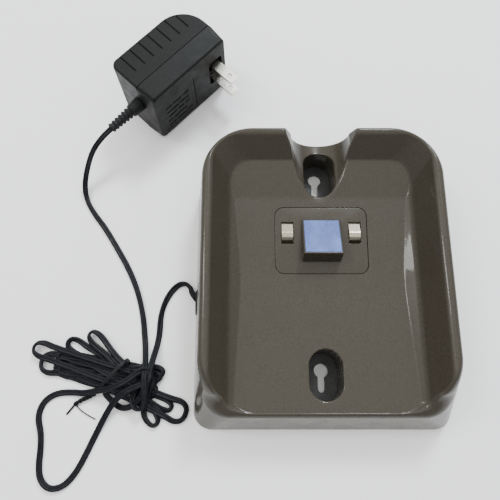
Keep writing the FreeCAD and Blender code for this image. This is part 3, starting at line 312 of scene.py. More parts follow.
# %% Outer form
def roof_distance(y, z):
    """Above the rim's top, which runs down to the front lip in two equal arcs."""
    run, fall = DROP_START - DROP_END, RIM - LIP
    radius = (run ** 2 + fall ** 2) / (4.0 * fall)
    high_z, low_z = RIM - radius, LIP + radius
    on_high = np.where(y > DROP_START, z - RIM, np.hypot(y - DROP_START, z - high_z) - radius)
    on_low = np.where(y < DROP_END, z - LIP, radius - np.hypot(y - DROP_END, z - low_z))
    middle_y, middle_z = (DROP_START + DROP_END) / 2.0, (RIM + LIP) / 2.0
    side = (y - middle_y) * (high_z - low_z) - (z - middle_z) * (DROP_START - DROP_END)
    return np.where(side < 0.0, on_high, on_low)


def outer_distance(x, y, z, edge):
    share = (z - SKIRT) / (RIM - SKIRT)
    side = plate_distance(x, y, HALF - SIDE_FLARE * share, FRONT + FRONT_FLARE * share,
                          BACK - BACK_FLARE * share, 10.0 + 16.0 * share, 30.0 - 2.0 * share)
    return meet(side, roof_distance(y, z), edge)


# %% Tray, trough and wells
def tray_distance(x, y, z):
    """The tray's hollow: leaning walls, a knee at each side's foot, and a floor in three planes."""
    depth = RIM - z
    side = (np.abs(x) - (HALF - SIDE_FLARE - 5.0) + SIDE_SLOPE * depth) / math.hypot(1.0, SIDE_SLOPE)
    knee_z = WAIST + KNEE_HEIGHT
    knee_x = HALF - SIDE_FLARE - 5.0 - SIDE_SLOPE * (RIM - knee_z)
    knee_slope = KNEE_RUN / KNEE_HEIGHT
    knee = (np.abs(x) - knee_x + knee_slope * (knee_z - z)) / math.hypot(1.0, knee_slope)
    back = (y - (BACK - 4.2) + BACK_SLOPE * depth) / math.hypot(1.0, BACK_SLOPE)
    walls = meet(soften(side, knee, 1.1), back, 11.0)
    walls = meet(walls, TRAY_FRONT - y, 6.0)
    planes = []
    spots = ((TRAY_FRONT, FLOOR_FRONT), (WAIST_Y, WAIST), (RAMP_Y, RAMP), (KINK_Y, KINK))
    for (y0, z0), (y1, z1) in zip(spots, spots[1:]):
        slope = (z1 - z0) / (y1 - y0)
        planes.append((z0 + slope * (y - y0) - z) / math.hypot(1.0, slope))
    floor = soften(soften(planes[0], planes[1], 1.2), planes[2], 0.3)
    return soften(walls, floor, 0.4)


def trough_distance(x, y, z):
    fall = (RAMP - TROUGH_BOTTOM) / (BACK - RAMP_Y)
    centre = TROUGH_BOTTOM + fall * (BACK - y) + TROUGH_RADIUS
    rise = z - centre
    bowl = np.hypot(x, rise) - TROUGH_RADIUS
    flare = (np.abs(x) - TROUGH_RADIUS - NOTCH_FLARE * rise) / math.hypot(1.0, NOTCH_FLARE)
    return np.where(rise < 0.0, bowl, flare)


def wells_distance(x, y, z):
    first = oval_distance(x, y, WELL_RADIUS, *UPPER_WELL)
    return np.minimum(first, oval_distance(x, y, WELL_RADIUS, *LOWER_WELL))


# %% Whole shell
RIM_OUTSIDE, RIM_INSIDE, TROUGH_EDGE, WELL_EDGE, HEM = 2.9, 1.5, 1.1, 0.8, 0.5
SEAT_WALL, SEAT_GAP, LEDGE, LEDGE_THICK = 2.0, 0.25, 1.6, 1.6
POST_RADIUS, POST_TOP = 4.0, 27.0
POSTS = [(side * (HALF - 23.0), y) for y in (FRONT + 21.5, BACK - 33.0) for side in (-1, 1)]


def to_panel(x, y, z):
    """Coordinates about the contact panel's centre, with its top face at zero."""
    across, up = y - PANEL_Y, z - PANEL_Z
    turn_cos, turn_sin = math.cos(PANEL_RISE), math.sin(PANEL_RISE)
    return x, across * turn_cos + up * turn_sin, up * turn_cos - across * turn_sin


def seat_block(x, y, z):
    """Thick frame under the floor that the contact panel's seat is cut into."""
    u, v, w = to_panel(x, y, z)
    grow = SEAT_GAP + SEAT_WALL
    plan = plate_distance(u, v, PANEL_HALF + grow, -PANEL_LONG - grow, PANEL_LONG + grow,
                          PANEL_CORNER, PANEL_CORNER)
    return np.maximum(plan, np.maximum(w + 0.4, -PANEL_THICK - LEDGE_THICK - w))


def shell_distance(x, y, z):
    outer = outer_distance(x, y, z, RIM_OUTSIDE)
    tray = tray_distance(x, y, z)
    trough = trough_distance(x, y, z)
    wells = wells_distance(x, y, z)
    body = meet(outer, -tray, RIM_INSIDE)
    body = soften(body, -trough, TROUGH_EDGE)
    body = meet(body, -wells, WELL_EDGE)
    kept = np.minimum(np.minimum(tray, trough), wells + WALL - 2.0)
    for px, py in POSTS:
        post = np.maximum(np.hypot(x - px, y - py) - POST_RADIUS, z - POST_TOP)
        kept = np.minimum(kept, post + WALL)
    kept = np.minimum(kept, seat_block(x, y, z) + WALL)
    hollow = np.maximum(outer + WALL, WALL - kept)
    body = np.maximum(body, -hollow)
    return meet(body, SKIRT - z, HEM)


# %% [markdown]
# ## Growing a mesh on a formula
# A grid samples the formula. Every grid cell that the surface passes through gets one point, at the
# average of its edge crossings, and every grid edge that crosses the surface gets one quad. The
# points are then evened out and pulled onto the surface with Newton steps, so that fillets stay round
# however coarse the grid is. All of it is array work, so well over a hundred thousand points take seconds.

# %% Surface nets
CORNERS = np.array([(i, j, k) for i in (0, 1) for j in (0, 1) for k in (0, 1)])
CELL_EDGES = [(a, b) for a in range(8) for b in range(a + 1, 8)
              if np.abs(CORNERS[a] - CORNERS[b]).sum() == 1]


def slope_at(points, distance, reach=0.04):
    """The formula's gradient, by central differences."""
    parts = []
    for axis in range(3):
        step = np.zeros(3)
        step[axis] = reach
        ahead = distance(*(points + step).T)
        parts.append((ahead - distance(*(points - step).T)) / (2.0 * reach))
    return np.stack(parts, axis=1)


def pull_on(points, distance, rounds):
    """Newton steps onto the zero surface, each at most half a millimetre."""
    for _ in range(rounds):
        slope = slope_at(points, distance)
        size = np.maximum((slope ** 2).sum(axis=1), 0.05)
        step = np.clip(distance(*points.T) / size, -0.5, 0.5)
        points = points - slope * step[:, None]
    return points


def even_out(points, quads, distance, rounds):
    """Moves each point towards the middle of its neighbours, then back onto the surface."""
    ends = np.concatenate([quads, np.roll(quads, -1, axis=1)]).ravel()
    others = np.concatenate([np.roll(quads, -1, axis=1), quads]).ravel()
    count = np.bincount(ends, minlength=len(points))[:, None]
    for _ in range(rounds):
        total = [np.bincount(ends, weights=points[others, axis], minlength=len(points))
                 for axis in range(3)]
        points = points + 0.6 * (np.stack(total, axis=1) / count - points)
        points = pull_on(points, distance, 1)
    return points


def grow_mesh(distance, low, high, step, rounds=3):
    """Points and quads of the formula's zero surface inside a box."""
    axes = [np.arange(low[a], high[a] + step, step) for a in range(3)]
    field = distance(*np.meshgrid(*axes, indexing="ij"))
    inside = field < 0.0
    nx, ny, nz = (n - 1 for n in field.shape)
    filled = sum(inside[i:i + nx, j:j + ny, k:k + nz].astype(np.int8) for i, j, k in CORNERS)
    cells = np.argwhere((filled > 0) & (filled < 8))
    number = np.full((nx, ny, nz), -1)
    number[tuple(cells.T)] = np.arange(len(cells))
    corner_values = [field[tuple((cells + c).T)] for c in CORNERS]
    total = np.zeros((len(cells), 3))
    count = np.zeros(len(cells))
    for a, b in CELL_EDGES:
        crosses = (corner_values[a] < 0.0) != (corner_values[b] < 0.0)
        share = corner_values[a] / np.where(crosses, corner_values[a] - corner_values[b], 1.0)
        spot = CORNERS[a] + share[:, None] * (CORNERS[b] - CORNERS[a])
        total += spot * crosses[:, None]
        count += crosses
    points = (cells + total / count[:, None]) * step + np.array([axis[0] for axis in axes])
    quads = []
    for axis in range(3):
        one, two = (axis + 1) % 3, (axis + 2) % 3
        first = np.moveaxis(inside, axis, 0)
        change = np.moveaxis(first[:-1] != first[1:], 0, axis)
        spots = np.argwhere(change)
        spots = spots[(spots[:, one] > 0) & (spots[:, two] > 0)]
        spots = spots[(spots[:, one] < field.shape[one] - 1) & (spots[:, two] < field.shape[two] - 1)]
        ring = []
        for back_one, back_two in ((1, 1), (0, 1), (0, 0), (1, 0)):
            cell = spots.copy()
            cell[:, one] -= back_one
            cell[:, two] -= back_two
            ring.append(number[tuple(cell.T)])
        ring = np.stack(ring, axis=1)
        leaving = inside[tuple(spots.T)]
        ring[~leaving] = ring[~leaving][:, ::-1]
        quads.append(ring)
    quads = np.concatenate(quads)
    points = pull_on(points, distance, 2)
    return even_out(points, quads, distance, rounds), quads


def mesh_from_arrays(name, points, quads):
    """Mesh object from arrays in millimetres."""
    mesh = bpy.data.meshes.new(name)
    mesh.vertices.add(len(points))
    mesh.vertices.foreach_set("co", (points * MM).astype(np.float32).ravel())
    mesh.loops.add(quads.size)
    mesh.loops.foreach_set("vertex_index", quads.astype(np.int32).ravel())
    mesh.polygons.add(len(quads))
    mesh.polygons.foreach_set("loop_start", np.arange(0, quads.size, 4, dtype=np.int32))
    mesh.polygons.foreach_set("use_smooth", [True] * len(quads))
    mesh.update(calc_edges=True)
    mesh.validate()
    piece = bpy.data.objects.new(name, mesh)
    bpy.context.scene.collection.objects.link(piece)
    return piece


def shade_by_formula(piece, distance, sharp=35.0):
    """Gives each corner the formula's own direction, unless its face was cut away from it."""
    mesh = piece.data
    points = np.empty(len(mesh.vertices) * 3, np.float32)
    mesh.vertices.foreach_get("co", points)
    slope = slope_at(points.reshape(-1, 3).astype(float) / MM, distance)
    slope /= np.maximum(np.linalg.norm(slope, axis=1), 1e-9)[:, None]
    corners = np.empty(len(mesh.loops), np.int32)
    mesh.loops.foreach_get("vertex_index", corners)
    counts = np.empty(len(mesh.polygons), np.int32)
    mesh.polygons.foreach_get("loop_total", counts)
    flat = np.empty(len(mesh.polygons) * 3, np.float32)
    mesh.polygons.foreach_get("normal", flat)
    flat = np.repeat(flat.reshape(-1, 3), counts, axis=0)
    smooth = slope[corners]
    follows = (smooth * flat).sum(axis=1) > math.cos(math.radians(sharp))
    normals = np.where(follows[:, None], smooth, flat)
    mesh.normals_split_custom_set([tuple(n) for n in normals])
    return piece


# %% Grow the shell and cut the panel's seat
def rounded_plate(half, front, back, radius, steps=6):
    """Closed plan outline with round corners, anticlockwise."""
    points = []
    for cx, cy, start in ((half - radius, back - radius, 0), (radius - half, back - radius, 90),
                          (radius - half, front + radius, 180), (half - radius, front + radius, 270)):
        for i in range(steps + 1):
            angle = math.radians(start + 90.0 * i / steps)
            points.append((cx + radius * math.cos(angle), cy + radius * math.sin(angle)))
    return points


def stack(name, rings, smooth=True):
    """Closed mesh through equal rings of points, capped at both ends."""
    size = len(rings[0])
    verts = [p for ring in rings for p in ring]
    faces = [tuple(reversed(range(size)))]
    for r in range(len(rings) - 1):
        for i in range(size):
            j = (i + 1) % size
            faces.append((r * size + i, r * size + j, (r + 1) * size + j, (r + 1) * size + i))
    faces.append(tuple(range((len(rings) - 1) * size, len(rings) * size)))
    return new_object(name, verts, faces, smooth)


def block(name, low, high):
    """Plain box, for cutting with."""
    ring = [(low[0], low[1]), (high[0], low[1]), (high[0], high[1]), (low[0], high[1])]
    return stack(name, [[(x, y, z) for x, y in ring] for z in (low[2], high[2])], False)


PANEL_FRAME = Matrix.Translation((0, PANEL_Y * MM, PANEL_Z * MM)) @ Matrix.Rotation(PANEL_RISE, 4, "X")


def place(piece, matrix):
    piece.data.transform(matrix)
    piece.data.update()
    return piece


def seat_cutter(name, grow, low, high):
    plan = rounded_plate(PANEL_HALF + grow, -PANEL_LONG - grow, PANEL_LONG + grow,
                         PANEL_CORNER + grow, 10)
    return place(stack(name, [[(x, y, z) for x, y in plan] for z in (low, high)]), PANEL_FRAME)


GRID = 0.8
shell_points, shell_quads = grow_mesh(
    shell_distance, (-HALF - 1.1, FRONT - 1.3, SKIRT - 1.2), (HALF + 1.1, BACK + 1.3, RIM + 1.5), GRID)
shell = mesh_from_arrays("stand_shell", shell_points, shell_quads)
carve(shell, seat_cutter("seat", SEAT_GAP, -PANEL_THICK, 8.0),
      seat_cutter("seat_through", SEAT_GAP - LEDGE, -12.0, 4.0))
shade_by_formula(shell, shell_distance)
print("shell", len(shell.data.vertices), "points", round(time.time() - started, 1), "s")

# %% [markdown]
# ## Finishes
# A moulded part is never one flat colour. Each finish below starts from the base colour, lets a fine
# noise drift it a little, and drives roughness and a small bump from noises of the right scale.
# Object coordinates are metres, so a noise scale of 1000 has features of about a millimetre.

# %% Finish helpers
FINISHES = {}


class Finish:
    """A node material with short calls for the parts that every finish here needs."""

    def __init__(self, name):
        self.material = bpy.data.materials.new(name)
        self.material.use_nodes = True
        self.nodes = self.material.node_tree.nodes
        self.links = self.material.node_tree.links
        self.shader = self.nodes["Principled BSDF"]
        self.where = self.nodes.new("ShaderNodeTexCoord").outputs["Object"]
        self.height = None
        FINISHES[name] = self.material

    def set(self, **values):
        for socket, value in values.items():
            self.shader.inputs[socket.replace("_", " ")].default_value = value
        return self

    def noise(self, scale, detail=3.0, stretch=None):
        node = self.nodes.new("ShaderNodeTexNoise")
        node.inputs["Scale"].default_value = scale
        node.inputs["Detail"].default_value = detail
        where = self.where
        if stretch:
            mapping = self.nodes.new("ShaderNodeMapping")
            mapping.inputs["Scale"].default_value = stretch
            self.links.new(self.where, mapping.inputs["Vector"])
            where = mapping.outputs["Vector"]
        self.links.new(where, node.inputs["Vector"])
        return node.outputs["Fac"]

    def spread(self, value, low, high, start=0.3, end=0.7):
        node = self.nodes.new("ShaderNodeMapRange")
        for socket, number in (("From Min", start), ("From Max", end), ("To Min", low), ("To Max", high)):
            node.inputs[socket].default_value = number
        self.links.new(value, node.inputs["Value"])
        return node.outputs["Result"]

    def tint(self, value, dark, light, start=0.35, end=0.65):
        """Base colour that drifts between two colours."""
        node = self.nodes.new("ShaderNodeValToRGB")
        node.color_ramp.elements[0].position = start
        node.color_ramp.elements[0].color = (*dark, 1.0)
        node.color_ramp.elements[1].position = end
        node.color_ramp.elements[1].color = (*light, 1.0)
        self.links.new(value, node.inputs["Fac"])
        self.links.new(node.outputs["Color"], self.shader.inputs["Base Color"])
        return self

    def rough(self, value, low, high):
        self.links.new(self.spread(value, low, high), self.shader.inputs["Roughness"])
        return self

    def bump(self, value, depth, strength=1.0):
        """Adds a height; depth in millimetres."""
        node = self.nodes.new("ShaderNodeBump")
        node.inputs["Strength"].default_value = strength
        node.inputs["Distance"].default_value = depth * MM
        self.links.new(value, node.inputs["Height"])
        if self.height:
            self.links.new(self.height, node.inputs["Normal"])
        self.height = node.outputs["Normal"]
        self.links.new(self.height, self.shader.inputs["Normal"])
        return self


def scaled(colour, share):
    return tuple(c * share for c in colour)


def drifting(name, colour, drift, scale, rough, grain=None, grain_depth=0.02, shine=0.5):
    """Plain moulded or painted surface: a small drift in colour and roughness, and a fine grain."""
    finish = Finish(name)
    cloud = finish.noise(scale)
    finish.tint(cloud, scaled(colour, 1.0 - drift), scaled(colour, 1.0 + drift))
    finish.rough(finish.noise(scale * 0.4), *rough)
    if grain:
        finish.bump(finish.noise(grain, 2.0), grain_depth)
    return finish.set(Specular_IOR_Level=shine)


# %% Finishes
DULL = 0.16                         # specular level of soft black pieces


def shell_gloss():
    """Glossy pearl taupe: fine flecks under a clear skin, with faint flow marks in the moulding."""
    finish = Finish("shell_gloss")
    flecks = finish.noise(1500.0, 4.0)
    finish.tint(flecks, (0.029, 0.025, 0.0175), (0.047, 0.041, 0.030), 0.30, 0.70)
    finish.rough(finish.noise(90.0, 4.0), 0.22, 0.34)
    finish.bump(finish.noise(26.0, 2.0, (1.0, 2.6, 1.0)), 0.30, 0.35)
    finish.bump(finish.noise(900.0, 2.0), 0.006, 0.5)
    return finish.set(Specular_IOR_Level=0.16, Coat_Weight=0.35, Coat_IOR=1.36, Coat_Roughness=0.03)


def cord_vinyl():
    """Soft black vinyl with a dull bloom along its length."""
    finish = Finish("cord_black")
    finish.tint(finish.noise(420.0, 3.0), (0.0030, 0.0036, 0.0055), (0.0075, 0.0080, 0.0105))
    finish.rough(finish.noise(300.0), 0.36, 0.52)
    finish.bump(finish.noise(1800.0, 2.0), 0.02, 0.5)
    return finish.set(Specular_IOR_Level=0.14)


def adapter_plastic():
    """Spark-eroded black casing: a fine even grain that greys where light grazes it."""
    finish = Finish("adapter_black")
    finish.tint(finish.noise(1100.0, 4.0), (0.0042, 0.0048, 0.0046), (0.0085, 0.0092, 0.0088))
    finish.rough(finish.noise(180.0, 4.0), 0.40, 0.56)
    finish.bump(finish.noise(2600.0, 2.0), 0.035, 0.55)
    return finish.set(Specular_IOR_Level=0.15)


def pad_blue():
    """Blue colour that paints the bright window's reflection in the hook's glossy ramp: mottled, with one
    paler streak across it.
    """
    finish = Finish("pad_blue")
    mottle = finish.noise(520.0, 5.0)
    streak = finish.noise(95.0, 3.0, (1.0, 0.55, 1.0))
    mixed = finish.nodes.new("ShaderNodeMath")
    mixed.operation = "ADD"
    mixed.use_clamp = True
    finish.links.new(finish.spread(mottle, 0.0, 0.6), mixed.inputs[0])
    finish.links.new(finish.spread(streak, 0.0, 0.5, 0.52, 0.68), mixed.inputs[1])
    # painted reflection: the blue of the window mirrored in the glossy ramp, put into the base colour
    finish.tint(mixed.outputs[0], (0.036, 0.070, 0.25), (0.085, 0.150, 0.41), 0.1, 0.95)
    finish.rough(mottle, 0.38, 0.55)
    finish.bump(finish.noise(1500.0, 3.0), 0.03, 0.5)
    return finish


def metal(name, colour, rough, scale=900.0, stretch=(1.0, 8.0, 1.0)):
    """Rolled or plated metal: fine lines along one direction."""
    finish = Finish(name)
    lines = finish.noise(scale, 4.0, stretch)
    finish.tint(lines, scaled(colour, 0.82), colour)
    finish.rough(lines, *rough)
    finish.bump(lines, 0.008, 0.5)
    return finish.set(Metallic=1.0)


shell_gloss()
cord_vinyl()
adapter_plastic()
# the blue finish is a painted reflection of the window on the hook's ramp
pad_blue()
drifting("cover_black", (0.016, 0.016, 0.016), 0.2, 500.0, (0.45, 0.6), 1500.0, 0.04)
drifting("soft_black", (0.013, 0.0135, 0.014), 0.2, 500.0, (0.45, 0.62), 1800.0, 0.03, DULL)
drifting("feet_rubber", (0.012, 0.012, 0.012), 0.2, 300.0, (0.6, 0.8), 1600.0, 0.05)
drifting("tie_black", (0.005, 0.0055, 0.007), 0.2, 400.0, (0.45, 0.6), 1400.0, 0.03, DULL)
drifting("carrier_natural", (0.62, 0.58, 0.48), 0.06, 300.0, (0.4, 0.55), 1200.0, 0.02)
drifting("board_green", (0.020, 0.105, 0.045), 0.15, 700.0, (0.3, 0.45), 900.0, 0.02)
drifting("board_tan", (0.30, 0.19, 0.085), 0.12, 900.0, (0.45, 0.6), 1200.0, 0.03)
drifting("resistor_tan", (0.45, 0.32, 0.18), 0.10, 500.0, (0.35, 0.5), 900.0, 0.02)
drifting("component_black", (0.014, 0.014, 0.015), 0.2, 500.0, (0.35, 0.5), 1500.0, 0.02)
drifting("capacitor_sleeve", (0.012, 0.022, 0.055), 0.15, 400.0, (0.25, 0.4), 900.0, 0.02)
drifting("terminal_green", (0.03, 0.20, 0.075), 0.10, 500.0, (0.35, 0.5), 1200.0, 0.02)
drifting("lead_red", (0.42, 0.020, 0.015), 0.12, 500.0, (0.35, 0.5), 1200.0, 0.02)
drifting("lead_black", (0.012, 0.012, 0.013), 0.2, 500.0, (0.35, 0.5), 1200.0, 0.02)
drifting("winding_tape", (0.52, 0.40, 0.10), 0.10, 300.0, (0.3, 0.45), 700.0, 0.03)
metal("contact_nickel", (0.38, 0.35, 0.27), (0.14, 0.30))
metal("blade_brass_nickel", (0.72, 0.69, 0.62), (0.18, 0.34))
metal("screw_steel", (0.55, 0.55, 0.56), (0.25, 0.42))
metal("core_steel", (0.30, 0.30, 0.31), (0.35, 0.6), 500.0, (1.0, 1.0, 40.0))
metal("winding_copper", (0.72, 0.32, 0.14), (0.25, 0.4), 1400.0, (1.0, 1.0, 6.0))
metal("fuse_metal", (0.70, 0.62, 0.45), (0.25, 0.4))
print(len(FINISHES), "finishes")

# %% [markdown]
# ## Dress the CAD nodes
# Pieces whose CAD shape is already right keep it: the base cover, the screws, the feet and everything
# inside. Each gets the finish of its material slot, so that an exploded view looks right too.

# %% Finish the CAD nodes
node_slots = {part["node"]: part["material_slot"]
              for part in frame["record"]["subparts"]}
for node, piece in frame["nodes"].items():
    finish = FINISHES[node_slots[node]]
    piece.data.materials.clear()
    piece.data.materials.append(finish)
print("dressed", len(frame["nodes"]), "nodes")

settle_object(shell, FINISHES["shell_gloss"], "stand", ("cradle_shell",))

# %% [markdown]
# ## Free cord
# The cord is one piece of thin two-core flex, so it is one spline from the stand's grommet to the
# adapter: the short lead, half of the hank, the big loose loop, the other half, and the long lead. The
# loose stretches are laid point by point, as a person would lay them on a table. The hank's
# turns come from a loop: each goes out to a left-hand tip and back to a right-hand one, through its
# own slot under the tie, and the tips fan out because nothing holds them.

# %% Route of the loose stretches
CRADLE_LEAD = [
    (-71.2, -8.83, 5.2), (-73.9, -5.62, 5.2), (-74.7, -2.2, 4.0), (-77.8, 0.9, 2.6),
    (-82.2, 0.4, 1.75), (-86.6, -4.2, 1.75), (-90.0, -11.0, 1.75), (-91.9, -19.2, 1.75),
    (-92.0, -27.8, 1.75), (-93.2, -36.6, 2.2), (-94.4, -43.6, 6.0),
]
OVER_THE_END = [
    (-95.4, -50.0, 9.2), (-97.0, -57.5, 9.2), (-99.6, -64.0, 7.0), (-104.5, -69.0, 4.2),
    (-111.0, -70.6, 2.6), (-117.0, -66.5, 1.8), (-123.0, -60.5, 1.5),
]
TO_BIG_LOOP = [
    (-95.0, -58.0, 6.0), (-94.2, -52.6, 7.6), (-96.8, -48.9, 8.8), (-101.6, -50.8, 9.6),
    (-106.0, -54.6, 10.0), (-111.5, -57.8, 10.0), (-118.0, -60.2, 8.0),
]
BIG_LOOP = [
    (-126.3, -61.0, 4.6), (-132.2, -62.2, 3.0), (-140.0, -61.4, 1.9), (-148.8, -62.0, 1.75),
    (-155.4, -66.8, 1.75), (-157.6, -74.8, 1.75), (-154.6, -83.4, 1.75), (-154.0, -92.0, 1.75),
    (-154.4, -100.0, 1.75), (-153.0, -107.2, 1.75), (-147.6, -112.2, 1.75), (-140.2, -110.8, 1.75),
    (-134.2, -104.2, 1.75), (-129.8, -95.6, 1.75), (-124.2, -82.6, 1.75), (-117.6, -70.4, 4.2),
]
FROM_BIG_LOOP = [
    (-112.4, -64.4, 8.2), (-106.4, -60.4, 10.0), (-99.4, -57.8, 9.8), (-95.0, -54.6, 8.8),
    (-94.8, -50.4, 7.6), (-98.6, -48.2, 6.6), (-103.6, -49.0, 5.6),
]
ADAPTER_LEAD = [
    (-103.6, -60.0, 4.8), (-105.4, -66.0, 4.8), (-103.6, -70.6, 5.6), (-99.4, -71.0, 7.0),
    (-97.4, -66.4, 8.8), (-97.8, -59.6, 10.0), (-98.2, -52.5, 10.2), (-98.4, -45.5, 6.4),
    (-99.4, -38.5, 2.6), (-100.6, -30.0, 1.75), (-102.0, -18.5, 1.75), (-106.0, -3.5, 1.75),
    (-112.2, 10.0, 1.75), (-119.8, 22.5, 1.75), (-128.0, 35.5, 1.75), (-136.0, 45.5, 1.75),
    (-141.2, 54.5, 1.75), (-141.9, 63.5, 5.0), (-138.6, 70.6, 13.0), (-133.6, 76.6, 22.5),
    (-127.6, 81.9, 28.0), (-121.7, 88.0, 29.0), (-113.0, 97.0, 29.0), (-103.4, 107.0, 29.0),
]

# %% Turns of the hank
TIE_START, TIE_END = Vector((-108.9, -44.2)), Vector((-124.2, -60.4))
TIE_MIDDLE = (TIE_START + TIE_END) / 2.0
TIE_ACROSS = (TIE_END - TIE_START).normalized()
COLUMN_PITCH, LAYER_PITCH, LOWEST = 3.3, 1.95, 1.15
# layer, first and second column, left tip and loop width, right tip and loop width
TURNS = [
    (0, 2, 0, (-148.5, -42.0), 6.4, (-95.0, -58.0), 6.4),
    (0, 4, 1, (-147.0, -48.5), 6.8, (-93.5, -61.5), 6.4),
    (0, 5, 3, (-149.5, -47.0), 6.4, (-84.6, -69.6), 5.0),
    (1, 3, 0, (-157.6, -45.0), 9.5, (-92.4, -78.2), 5.6),
    (1, 1, 3, (-143.0, -33.6), 6.0, (-76.6, -73.2), 10.0),
    (1, 5, 2, (-149.0, -45.0), 6.2, (-94.0, -56.0), 6.0),
    (2, 4, 1, (-162.0, -36.8), 7.0, (-89.6, -50.6), 4.6),
    (2, 1, 0, (-130.8, -29.2), 5.4, (-91.0, -53.0), 5.4),
]
LOOP_SHAPE = ((-9.0, 0.50), (-3.6, 0.60), (0.9, 0.34), (0.9, -0.34), (-3.6, -0.60), (-9.0, -0.50))


def slot_under_tie(layer, column):
    spot = TIE_MIDDLE + TIE_ACROSS * (column - 2.5) * COLUMN_PITCH
    return Vector((spot.x, spot.y, LOWEST + LAYER_PITCH * layer))


def end_loop(tip, width, arriving, leaving, height):
    """Points round a tip, from the arriving strand's side to the leaving one's."""
    tip = Vector((*tip, 0.0))
    base = (slot_under_tie(0, arriving) + slot_under_tie(0, leaving)) / 2.0
    base.z = 0.0
    way = (tip - base).normalized()
    aside = Vector((-way.y, way.x, 0.0))
    if aside.dot(TIE_ACROSS.to_3d()) < 0.0:
        aside.negate()
    side = width if arriving > leaving else -width
    points = [tip + way * along + aside * side * out for along, out in LOOP_SHAPE]
    for i, point in enumerate(points):
        point.z = height + 0.12 * min(i, len(points) - 1 - i)
    return points


def hank_points(first, last):
    """Control points of some of the turns, from one tie crossing to the next right-hand tip."""
    points = []
    for number in range(first, last):
        layer, out_column, back_column, left, left_width, right, right_width = TURNS[number]
        next_column = TURNS[(number + 1) % len(TURNS)][1]
        low = LOWEST + 0.55 * LAYER_PITCH * layer
        out_slot = slot_under_tie(layer, out_column)
        back_slot = slot_under_tie(layer, back_column)
        left_loop = end_loop(left, left_width, out_column, back_column, low)
        right_loop = end_loop(right, right_width, back_column, next_column, low)
        bow = Vector((0.35, 1.0, 0.0)) * (0.7 * math.sin(2.1 * number))
        points += [out_slot, (out_slot + left_loop[0]) / 2.0 + bow, *left_loop]
        points += [(back_slot + left_loop[-1]) / 2.0 - bow, back_slot]
        points += [(back_slot + right_loop[0]) / 2.0 + bow, *right_loop]
        points.append((right_loop[-1] + slot_under_tie(layer, next_column)) / 2.0)
    return [tuple(p) for p in points]


HALF_WAY = 4
route = CRADLE_LEAD + OVER_THE_END + hank_points(0, HALF_WAY)[:-1] + TO_BIG_LOOP + BIG_LOOP
route += FROM_BIG_LOOP + hank_points(HALF_WAY, len(TURNS))[:-1] + ADAPTER_LEAD
print("cord", len(route), "control points")

# %% [markdown]
# A NURBS spline of order three glides between its control points without bulging, which is how a limp
# cord lies. Blender turns the bare curve into a string of points, and everything on the cord is then
# built along those points.

# %% Spline and its points
def spline_points(name, controls, resolution=8):
    """Points along a NURBS curve through the controls, in millimetres."""
    curve = bpy.data.curves.new(name, "CURVE")
    curve.dimensions = "3D"
    curve.resolution_u = resolution
    spline = curve.splines.new("NURBS")
    spline.points.add(len(controls) - 1)
    for point, (x, y, z) in zip(spline.points, controls):
        point.co = (x * MM, y * MM, z * MM, 1.0)
    spline.order_u = 3
    spline.use_endpoint_u = True
    guide = bpy.data.objects.new(name, curve)
    bpy.context.scene.collection.objects.link(guide)
    line = bpy.data.meshes.new_from_object(guide)
    points = np.array([v.co[:] for v in line.vertices]) / MM
    bpy.data.objects.remove(guide)
    bpy.data.meshes.remove(line)
    return points


def tangents(line):
    """Unit direction of a line at each of its points."""
    tangent = np.gradient(line, axis=0)
    return tangent / np.linalg.norm(tangent, axis=1)[:, None]


def along_line(line, up=(0.0, 0.0, 1.0)):
    """Unit tangent, sideways and upward directions at each point of a line."""
    tangent = tangents(line)
    side = np.cross(tangent, up)
    side /= np.linalg.norm(side, axis=1)[:, None]
    return tangent, side, np.cross(side, tangent)


cord_line = spline_points("cord_guide", route)

# %% [markdown]
# ## Flat flex section
# The flex is two round cores side by side, with a groove between them. Flat flex bends easily only
# about its flat side, so where the line turns sharply in plan it stands on edge, and a few slow twists
# are left over from when it was wound. Near the table the section drops until it touches it.

# %% Cord mesh
CORD_WIDTH, CORE_RADIUS = 3.5, 0.9
CORE_OFFSET = CORD_WIDTH / 2.0 - CORE_RADIUS
WEB_HALF = 0.48
SECTION_POINTS = 20
TWIST_SPOTS = ((-90.8, -14.5), (-155.0, -87.5), (-76.5, -0.5), (-138.5, 49.5), (-104.0, -9.0))


def flex_section():
    """Outline of two touching cores, as offsets along the width and the thickness."""
    section = []
    for i in range(SECTION_POINTS):
        angle = 2.0 * math.pi * i / SECTION_POINTS
        reach_sideways = abs(math.cos(angle)) * CORE_OFFSET
        under = CORE_RADIUS ** 2 - (CORE_OFFSET * math.sin(angle)) ** 2
        reach = max(reach_sideways + math.sqrt(max(under, 0.0)), WEB_HALF)
        section.append((reach * math.cos(angle), reach * math.sin(angle)))
    return np.array(section)


def smooth_along(values, spread):
    """Rolling average with a triangular weight."""
    weights = np.concatenate([np.arange(1, spread + 1), np.arange(spread - 1, 0, -1)]).astype(float)
    padded = np.pad(values, spread - 1, mode="edge")
    return np.convolve(padded, weights / weights.sum(), mode="valid")


def cord_roll(line, tangent):
    """How far the flex is turned on edge at each point."""
    heading = np.unwrap(np.arctan2(tangent[:, 1], tangent[:, 0]))
    along = np.concatenate([[0.0], np.cumsum(np.linalg.norm(np.diff(line, axis=0), axis=1))])
    bend = np.abs(np.gradient(heading, along))
    roll = np.clip((bend - 0.05) / 0.20, 0.0, 1.0) * math.radians(80.0)
    for x, y in TWIST_SPOTS:
        away = np.hypot(line[:, 0] - x, line[:, 1] - y)
        roll = np.maximum(roll, math.radians(85.0) * np.exp(-(away / 5.0) ** 2))
    return smooth_along(roll, 12)


